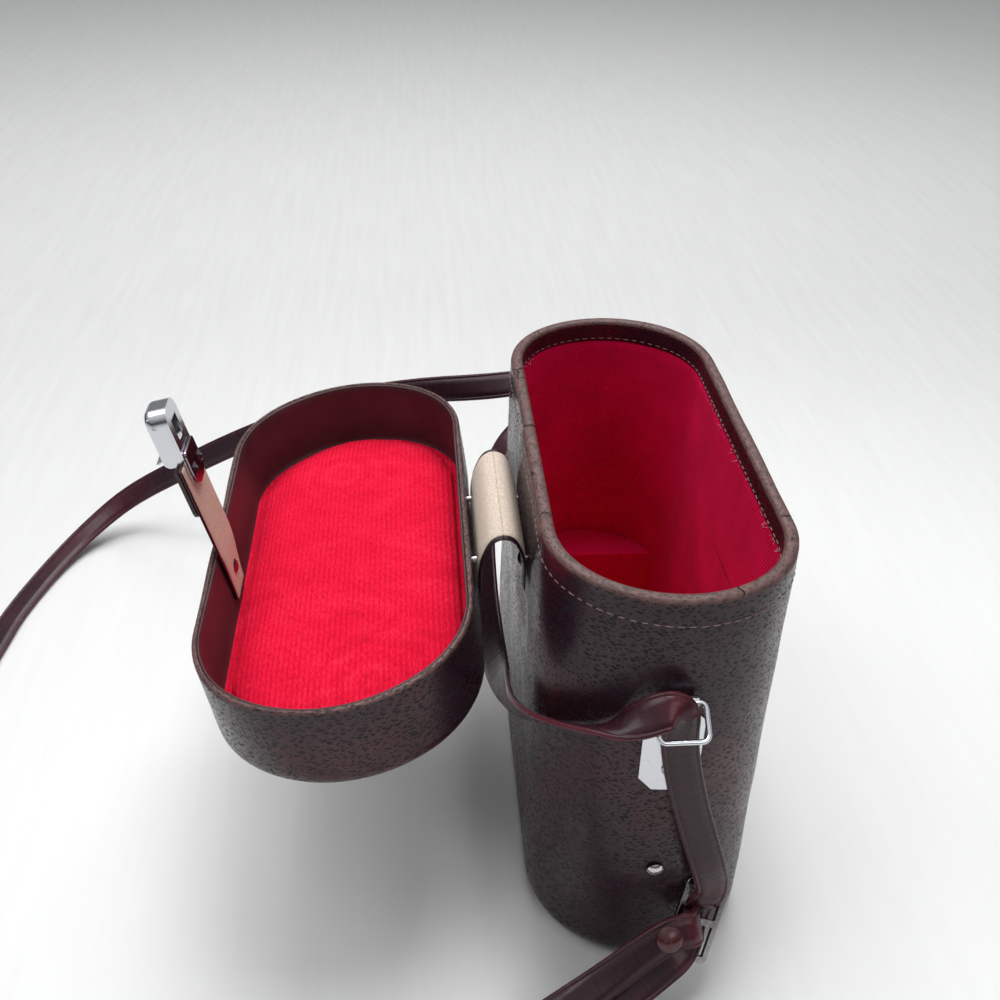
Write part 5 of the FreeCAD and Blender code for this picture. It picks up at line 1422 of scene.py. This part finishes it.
def make_clasp(context):
    settings = context.scene.hard_case_clasp
    hide = two_sided_leather("clasp_hide", settings.flesh_colour, settings.grain_colour, 0.0006)
    anchor_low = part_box("clasp_strap_anchor")[0] / MM
    anchor_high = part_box("clasp_strap_anchor")[1] / MM
    start = ((anchor_low.x + anchor_high.x) / 2 + 1.6, anchor_low.z)
    upper = [clasp_place(0, 0, w) for w in (6, 14, 24, 37.5)]
    spots = [start, (start[0] - 1.2, anchor_low.z + 10),
             ((anchor_low.x + anchor_high.x) / 2 - 0.8, anchor_high.z - 5)]
    spots += [(p[0], p[2]) for p in upper]
    path = smooth_path(spots, 6)

    def width(share):
        return CLASP_HALF_WIDTH * (0.66 + 0.34 * min(1.0, max(0.0, (share - 0.05) / 0.35)))

    piece = leather_band("clasp_leather_strap", path, hide, CLASP_STRAP_THICKNESS, width,
                         CLASP_ORIGIN[1], False)
    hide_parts("clasp_strap", "clasp_strap_anchor")
    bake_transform(piece)
    foot = Vector(clasp_place(0, 0, CLASP_FOOT)) * MM
    along = (Vector(clasp_place(0, 0, CLASP_FOOT + 1)) * MM - foot).normalized()

    def slimmed(spot):
        """The clasp's metal, a little narrower and shorter than its solids."""
        shift = (spot - foot).dot(along)
        moved = spot - along * (shift * CLASP_SHORTER if shift > 0 else 0)
        moved.y = foot.y + (spot.y - foot.y) * CLASP_NARROWER
        return moved

    dark = dark_leather_material("clasp_dark_leather", settings.grain_colour)
    softened_copy("clasp_outer_layer", "clasp_dark_layer", 0.4, dark, "clasp", 3)
    bright = metal_material("clasp_plating", settings.metal_colour)
    steel = metal_material("clasp_steel", (0.55, 0.55, 0.58, 1), 0.2)
    smoked = metal_material("smoked_metal", (0.30, 0.25, 0.30, 1), 0.12)
    parts = (("clasp_plate", 0.2, bright, "clasp"), ("clasp_tongue", 0.25, smoked, "clasp"),
             ("clasp_rivets", 0.12, smoked, "clasp"), ("clasp_housing", 0.9, bright, "clasp"),
             ("clasp_lever", 0.25, bright, "lever"), ("clasp_lever_pin", 0.1, steel, "clasp"),
             ("clasp_lever_spring", 0.05, steel, "clasp"), ("clasp_anchor_rivet", 0.15, smoked, "lid"))
    for node, edge, metal, body in parts:
        softened_copy(node, node + "_metal", edge, metal, body,
                      reshaped=None if node == "clasp_anchor_rivet" else slimmed)


def raised(spot):
    """The catch's place, drawn in and up as the clasp that shuts on it is."""
    middle = CLASP_ORIGIN[1] * MM
    level = CATCH_FOOT_LEVEL * MM
    return Vector((spot.x, middle + (spot.y - middle) * CLASP_NARROWER,
                   level + (spot.z - level) * (1 - CLASP_SHORTER)))


def make_fittings(context):
    settings = context.scene.hard_case_clasp
    bright = metal_material("fitting_plating", settings.metal_colour)
    steel = metal_material("rivet_steel", (0.50, 0.48, 0.50, 1), 0.22)
    smoked = metal_material("end_rivet_metal", (0.62, 0.58, 0.60, 1), 0.10)
    parts = (("catch_plate", 0.2, bright, "case"), ("catch_post", 0.2, bright, "case"),
             ("catch_rivets", 0.1, steel, "case"), ("strap_bracket_near", 0.15, bright, "case"),
             ("strap_bracket_far", 0.15, bright, "case"), ("bracket_rivets_near", 0.1, steel, "case"),
             ("bracket_rivets_far", 0.1, steel, "case"), ("end_rivet_near", 0, smoked, "case"),
             ("end_rivet_far", 0, smoked, "case"), ("strap_ring_near", 0.0, bright, "near_ring"),
             ("strap_ring_far", 0.0, bright, "far_ring"))
    for node, edge, metal, body in parts:
        softened_copy(node, node + "_metal", edge, metal, body,
                      reshaped=raised if node.startswith("catch") else None)


def spline_points(name, spots):
    """Places along the smooth spline that has the given places as its control points."""
    curve = bpy.data.curves.new(name, "CURVE")
    curve.dimensions = "3D"
    curve.resolution_u = 10
    spline = curve.splines.new("NURBS")
    spline.points.add(len(spots) - 1)
    for control, spot in zip(spline.points, spots):
        control.co = (*spot, 1.0)
    spline.order_u = 3
    spline.use_endpoint_u = True
    holder = linked(name, curve)
    graph = bpy.context.evaluated_depsgraph_get()
    mesh = bpy.data.meshes.new_from_object(holder.evaluated_get(graph))
    line = [v.co.copy() for v in mesh.vertices]
    bpy.data.objects.remove(holder)
    return line


def make_strap(context):
    settings = context.scene.hard_case_strap
    material = strap_material("strap_hide", settings)
    middle = spline_points("strap_line", [Vector(spot[:3]) * MM for spot in STRAP_ROUTE])
    rail = spline_points("strap_rail", [Vector(spot[:3]) * MM + 0.01 * Vector(spot[3:]).normalized()
                                        for spot in STRAP_ROUTE])
    half = settings.width / 2
    thick = settings.thickness / 2
    groove = 0.765
    upper = [(-1.0, 0.0), (-0.985, 0.55), (-0.93, 0.9), (-0.86, 1.0), (-0.80, 1.0), (-groove, 0.72),
             (-0.73, 1.0), (-0.35, 1.04), (0.0, 1.06)]
    upper += [(-u, v) for u, v in upper[-2::-1]]
    lower = [(0.985, -0.5), (0.93, -0.85), (0.6, -1.0), (-0.6, -1.0), (-0.93, -0.85), (-0.985, -0.5)]
    section = upper + lower
    rows = []
    bend_highlights = []
    edges = []
    travelled = 0.0
    for i, spot in enumerate(middle):
        ahead = (middle[min(i + 1, len(middle) - 1)] - middle[max(i - 1, 0)]).normalized()
        facing = rail[i] - spot
        facing = (facing - ahead * facing.dot(ahead)).normalized()
        across = ahead.cross(facing)
        if i:
            travelled += (spot - middle[i - 1]).length
        row = []
        flat = []
        bend = 0.0
        # How sharply the strap bends here sets its painted highlight.
        if 3 < i < len(middle) - 4:
            bend = (middle[i + 3] - spot).normalized().angle((spot - middle[i - 3]).normalized())
        for u, v in section:
            place = spot + across * (u * half) + facing * (v * thick)
            row.append(tuple(place / MM))
            flat.append((u * half, travelled))
            bend_highlights.append(min(1.0, bend * 1.6))
            # The edges and crease lines, which the strap's material paints lighter as a highlight.
            edges.append(1.0 if abs(u) > 0.95 or abs(abs(u) - groove) < 0.02 else 0.0)
        flat.append(flat[0])
        rows.append((row, flat))
    points, faces, corners = closed_band(rows)
    piece = new_piece("shoulder_strap", points, faces, material, corners, {"red": bend_highlights, "edge": edges})
    outward(piece)
    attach(piece, "case")
    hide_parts("strap_from_buckle", "strap_on_floor", "strap_over_shoulder", "strap_behind_case",
                "strap_down_end", "strap_tail")
    # Painted shade: the buckle is a darker copy of the bright plating, for the dark reflections of its edge-on
    # frame.
    bright = metal_material("buckle_plating_shaded", (0.42, 0.40, 0.41, 1), 0.12)
    buckle = softened_copy("strap_buckle", "strap_buckle_metal", 0.35, bright, "case", 3)
    enamel = enamel_material("cap_finish", (0.07, 0.012, 0.014, 1))
    low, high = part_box("strap_end_rivet")
    cap_middle = (low + high) / 2
    cap_piece = softened_copy("strap_end_rivet", "strap_end_cap", 0.0, enamel, "case",
                              reshaped=lambda spot: cap_middle + (spot - cap_middle) * CAP_WIDER)


def stitch_tree():
    """Geometry nodes that lay one thread after another along a line."""
    tree = bpy.data.node_groups.new("rim_sewing", "GeometryNodeTree")
    sockets = {}
    inputs = (("Seam", "NodeSocketGeometry", None), ("Pitch", "NodeSocketFloat", 0.0037),
              ("Stitch length", "NodeSocketFloat", 0.0029), ("Thread", "NodeSocketFloat", 0.0004),
              ("Unevenness", "NodeSocketFloat", 0.25), ("Finish", "NodeSocketMaterial", None))
    for label, kind, value in inputs:
        made = tree.interface.new_socket(label, in_out="INPUT", socket_type=kind)
        if value is not None:
            made.default_value = value
        sockets[label] = made.identifier
    tree.interface.new_socket("Sewing", in_out="OUTPUT", socket_type="NodeSocketGeometry")
    graph = Graph(tree)
    entry = tree.nodes.new("NodeGroupInput").outputs
    out = tree.nodes.new("NodeGroupOutput").inputs
    line = graph.node("GeometryNodeMeshToCurve", {"Mesh": entry["Seam"]}).outputs[0]
    beads = graph.node("GeometryNodeResampleCurve", {"Curve": line, "Length": entry["Pitch"]}, mode="LENGTH")
    thread = graph.node("GeometryNodeMeshUVSphere", {"Segments": 8, "Rings": 6, "Radius": 0.5}).outputs["Mesh"]
    chance = graph.node("FunctionNodeRandomValue", {"Seed": 7}, data_type="FLOAT")
    chance.inputs[2].default_value = 0.0
    chance.inputs[3].default_value = 1.0
    vary = graph.math("SUBTRACT", 1.0, graph.times(chance.outputs[1], entry["Unevenness"]))
    size = graph.node("ShaderNodeCombineXYZ", {0: entry["Thread"], 1: entry["Thread"],
                      2: graph.times(entry["Stitch length"], vary)}).outputs[0]
    tangent = graph.node("GeometryNodeInputTangent").outputs[0]
    turned = graph.node("FunctionNodeAlignRotationToVector", {"Vector": tangent}, axis="Z").outputs[0]
    laid = graph.node("GeometryNodeInstanceOnPoints", {"Points": beads.outputs[0], "Instance": thread,
                      "Rotation": turned, "Scale": size}).outputs[0]
    real = graph.node("GeometryNodeRealizeInstances", {"Geometry": laid}).outputs[0]
    real = graph.node("GeometryNodeSetShadeSmooth", {"Geometry": real}).outputs[0]
    done = graph.node("GeometryNodeSetMaterial", {"Geometry": real, "Material": entry["Finish"]}).outputs[0]
    tree.links.new(done, out[0])
    return tree, sockets


def sewn_line(name, spots, closed, material, settings, body):
    """A row of stitches along a line of places in millimetres."""
    mesh = bpy.data.meshes.new(name + "_line")
    edges = [(i, i + 1) for i in range(len(spots) - 1)]
    if closed:
        edges.append((len(spots) - 1, 0))
    mesh.from_pydata([Vector(p) * MM for p in spots], edges, [])
    holder = linked(name + "_line", mesh)
    tree, sockets = stitch_tree()
    modifier = holder.modifiers.new("sewing", "NODES")
    modifier.node_group = tree
    modifier[sockets["Pitch"]] = settings.pitch
    modifier[sockets["Stitch length"]] = settings.length
    modifier[sockets["Thread"]] = settings.thread
    modifier[sockets["Finish"]] = material
    bpy.context.view_layer.update()
    graph = bpy.context.evaluated_depsgraph_get()
    mesh = bpy.data.meshes.new_from_object(holder.evaluated_get(graph))
    bpy.data.objects.remove(holder)
    piece = linked(name, mesh)
    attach(piece, body)
    return piece


def make_sewing(context):
    settings = context.scene.hard_case_sewing
    thread = thread_material("rim_thread", settings.colour)
    moved = wall_shape(context.scene.hard_case_covering)
    level = CASE_HEIGHT - OUTSIDE_SEAM_DROP
    spots = []
    for x, y, u, v in case_outline(level):
        facing = Vector((u, v, 0))
        spots.append(tuple(moved(Vector((x, y, level)), facing, 0.0) + facing * 0.05))
    sewn_line("rim_stitches_outside", spots, True, thread, settings, "case")
    level = TURN_IN_LEVEL + INSIDE_SEAM_RISE
    inset = WALL + TURN_IN_PROUD + 0.05
    spots = [(x - inset * u, y - inset * v, level) for x, y, u, v in case_outline(level)]
    sewn_line("rim_stitches_inside", spots, True, thread, settings, "case")


# Stage
def make_camera():
    level = math.cos(CAMERA_PITCH)
    ahead = Vector((math.sin(CAMERA_YAW) * level, math.cos(CAMERA_YAW) * level, -math.sin(CAMERA_PITCH)))
    right = Vector((math.cos(CAMERA_YAW), -math.sin(CAMERA_YAW), 0))
    up = right.cross(ahead)
    turned_right = right * math.cos(CAMERA_ROLL) + up * math.sin(CAMERA_ROLL)
    turned_up = up * math.cos(CAMERA_ROLL) - right * math.sin(CAMERA_ROLL)
    camera = bpy.data.cameras.new("photo_view")
    camera.sensor_width = 36.0
    camera.lens = CAMERA_LENS
    camera.clip_start = 0.01
    camera.clip_end = 20.0
    made = linked("photo_view", camera)
    turn = Matrix((turned_right, turned_up, -ahead)).transposed().to_4x4()
    made.matrix_world = Matrix.Translation(CAMERA_PLACE) @ turn
    bpy.context.scene.camera = made


def make_lamp(name, place, target, size, power):
    lamp = bpy.data.lights.new(name, "AREA")
    lamp.shape = "RECTANGLE"
    lamp.size, lamp.size_y = size
    lamp.energy = power
    made = linked(name, lamp)
    made.location = place
    made.rotation_euler = (Vector(target) - Vector(place)).to_track_quat("-Z", "Y").to_euler()


def make_floor(settings):
    """A ground that curves up into a wall at the back."""
    points = []
    for i in range(FLOOR_STEPS + 1):
        share = i / FLOOR_STEPS
        turn = max(0.0, (share - FLOOR_FLAT_SHARE) / (1 - FLOOR_FLAT_SHARE)) * math.pi / 2
        y = FLOOR_FRONT + FLOOR_RUN * min(share, FLOOR_FLAT_SHARE) / FLOOR_FLAT_SHARE
        y += FLOOR_CURVE * math.sin(turn)
        z = FLOOR_CURVE * (1 - math.cos(turn))
        points += [(-FLOOR_HALF_WIDTH, y, z), (FLOOR_HALF_WIDTH, y, z)]
    back = FLOOR_FRONT + FLOOR_RUN + FLOOR_CURVE
    points += [(-FLOOR_HALF_WIDTH, back, WALL_TOP), (FLOOR_HALF_WIDTH, back, WALL_TOP)]
    faces = [(2 * i, 2 * i + 1, 2 * i + 3, 2 * i + 2) for i in range(FLOOR_STEPS + 1)]
    floor = new_piece("floor", points, faces, floor_material("pale_floor", settings.floor_colour))


def make_world(settings):
    """Even room light, with a soft sky for mirrors and a pale one for the eye."""
    world = bpy.data.worlds.new("studio")
    world.use_nodes = True
    tree = world.node_tree
    tree.nodes.clear()
    graph = Graph(tree)
    shows, direct = graph.shown()
    facing = graph.split(graph.node("ShaderNodeTexCoord").outputs["Generated"])[2]
    mirrored = graph.span(facing, 0.0, 0.8, 0.05, 0.75, smooth=True)
    level = graph.math("ADD", graph.times(graph.math("SUBTRACT", 1.0, shows), ROOM_LIGHT * settings.light),
                       graph.times(shows, mirrored))
    level = graph.math("MAXIMUM", level, graph.times(direct, 0.9))
    back = graph.node("ShaderNodeBackground", {"Color": (0.95, 0.97, 1.0, 1), "Strength": level})
    out = tree.nodes.new("ShaderNodeOutputWorld")
    tree.links.new(back.outputs[0], out.inputs[0])
    bpy.context.scene.world = world


def make_stage(context):
    settings = context.scene.hard_case_stage
    context.scene.view_settings.view_transform = "Standard"
    make_camera()
    make_floor(settings)
    make_world(settings)
    for name, place, target, size, power in LAMPS:
        make_lamp(name, place, target, size, power * settings.light)


# Operators
class StageOperator(bpy.types.Operator):
    """Set the camera, the light and the floor"""
    bl_idname = "hard_case.stage"
    bl_label = "Stage"

    def execute(self, context):
        make_stage(context)
        return {"FINISHED"}


class StrapOperator(bpy.types.Operator):
    """Lay the shoulder strap with its buckle and its end cap"""
    bl_idname = "hard_case.shoulder_strap"
    bl_label = "Shoulder strap"

    def execute(self, context):
        make_strap(context)
        return {"FINISHED"}


class CaseWallOperator(bpy.types.Operator):
    """Cover the case's wall and roll its rim"""
    bl_idname = "hard_case.case_wall"
    bl_label = "Case wall"

    def execute(self, context):
        make_case_wall(context)
        return {"FINISHED"}


class LiningOperator(bpy.types.Operator):
    """Line the case in red, with its end blocks and floor pad"""
    bl_idname = "hard_case.lining"
    bl_label = "Lining"

    def execute(self, context):
        make_lining(context)
        return {"FINISHED"}


class SewingOperator(bpy.types.Operator):
    """Sew the rim inside and outside"""
    bl_idname = "hard_case.sewing"
    bl_label = "Sewing"

    def execute(self, context):
        make_sewing(context)
        make_frays(context)
        return {"FINISHED"}


class LidOperator(bpy.types.Operator):
    """Cover the lid and face it inside"""
    bl_idname = "hard_case.lid"
    bl_label = "Lid"

    def execute(self, context):
        make_lid(context)
        return {"FINISHED"}


class CushionOperator(bpy.types.Operator):
    """Fill the lid with its corduroy pad"""
    bl_idname = "hard_case.cushion"
    bl_label = "Lid cushion"

    def execute(self, context):
        make_cushion(context)
        return {"FINISHED"}


class HingeOperator(bpy.types.Operator):
    """Bend the leather hinge from the case to the lid"""
    bl_idname = "hard_case.hinge"
    bl_label = "Hinge"

    def execute(self, context):
        make_hinge(context)
        return {"FINISHED"}


class ClaspOperator(bpy.types.Operator):
    """Make the clasp strap and its metal"""
    bl_idname = "hard_case.clasp"
    bl_label = "Clasp"

    def execute(self, context):
        make_clasp(context)
        return {"FINISHED"}


class FittingsOperator(bpy.types.Operator):
    """Finish the catch, the strap brackets, their rings and the end rivets"""
    bl_idname = "hard_case.fittings"
    bl_label = "Catch and strap fittings"

    def execute(self, context):
        make_fittings(context)
        return {"FINISHED"}


class HardCasePanel(bpy.types.Panel):
    """The pieces of the case, in the order they are made"""
    bl_idname = "VIEW3D_PT_hard_case"
    bl_label = "Binocular hard case"
    bl_space_type = "VIEW_3D"
    bl_region_type = "UI"
    bl_category = "Hard case"

    def draw(self, context):
        for operator in OPERATORS:
            self.layout.operator(operator.bl_idname)
        for name, group in SETTINGS:
            box = self.layout.box()
            for label in group.__annotations__:
                box.prop(getattr(context.scene, name), label)


SETTINGS = (
    ("hard_case_stage", StageSettings),
    ("hard_case_strap", StrapSettings),
    ("hard_case_covering", CoveringSettings),
    ("hard_case_lining", LiningSettings),
    ("hard_case_sewing", StitchSettings),
    ("hard_case_cushion", CushionSettings),
    ("hard_case_hinge", HingeSettings),
    ("hard_case_clasp", ClaspSettings),
)
OPERATORS = (StageOperator, StrapOperator, CaseWallOperator, LiningOperator, SewingOperator, LidOperator,
             CushionOperator, HingeOperator, ClaspOperator, FittingsOperator)


def register():
    for name, group in SETTINGS:
        bpy.utils.register_class(group)
        setattr(bpy.types.Scene, name, bpy.props.PointerProperty(type=group))
    for operator in OPERATORS:
        bpy.utils.register_class(operator)
    bpy.utils.register_class(HardCasePanel)


def unregister():
    bpy.utils.unregister_class(HardCasePanel)
    for operator in reversed(OPERATORS):
        bpy.utils.unregister_class(operator)
    for name, group in reversed(SETTINGS):
        delattr(bpy.types.Scene, name)
        bpy.utils.unregister_class(group)


def main():
    register()
    bpy.ops.hard_case.stage()
    bpy.ops.hard_case.shoulder_strap()
    bpy.ops.hard_case.case_wall()
    bpy.ops.hard_case.lining()
    bpy.ops.hard_case.sewing()
    bpy.ops.hard_case.lid()
    bpy.ops.hard_case.cushion()
    bpy.ops.hard_case.hinge()
    bpy.ops.hard_case.clasp()
    bpy.ops.hard_case.fittings()


if __name__ == "__main__":
    main()
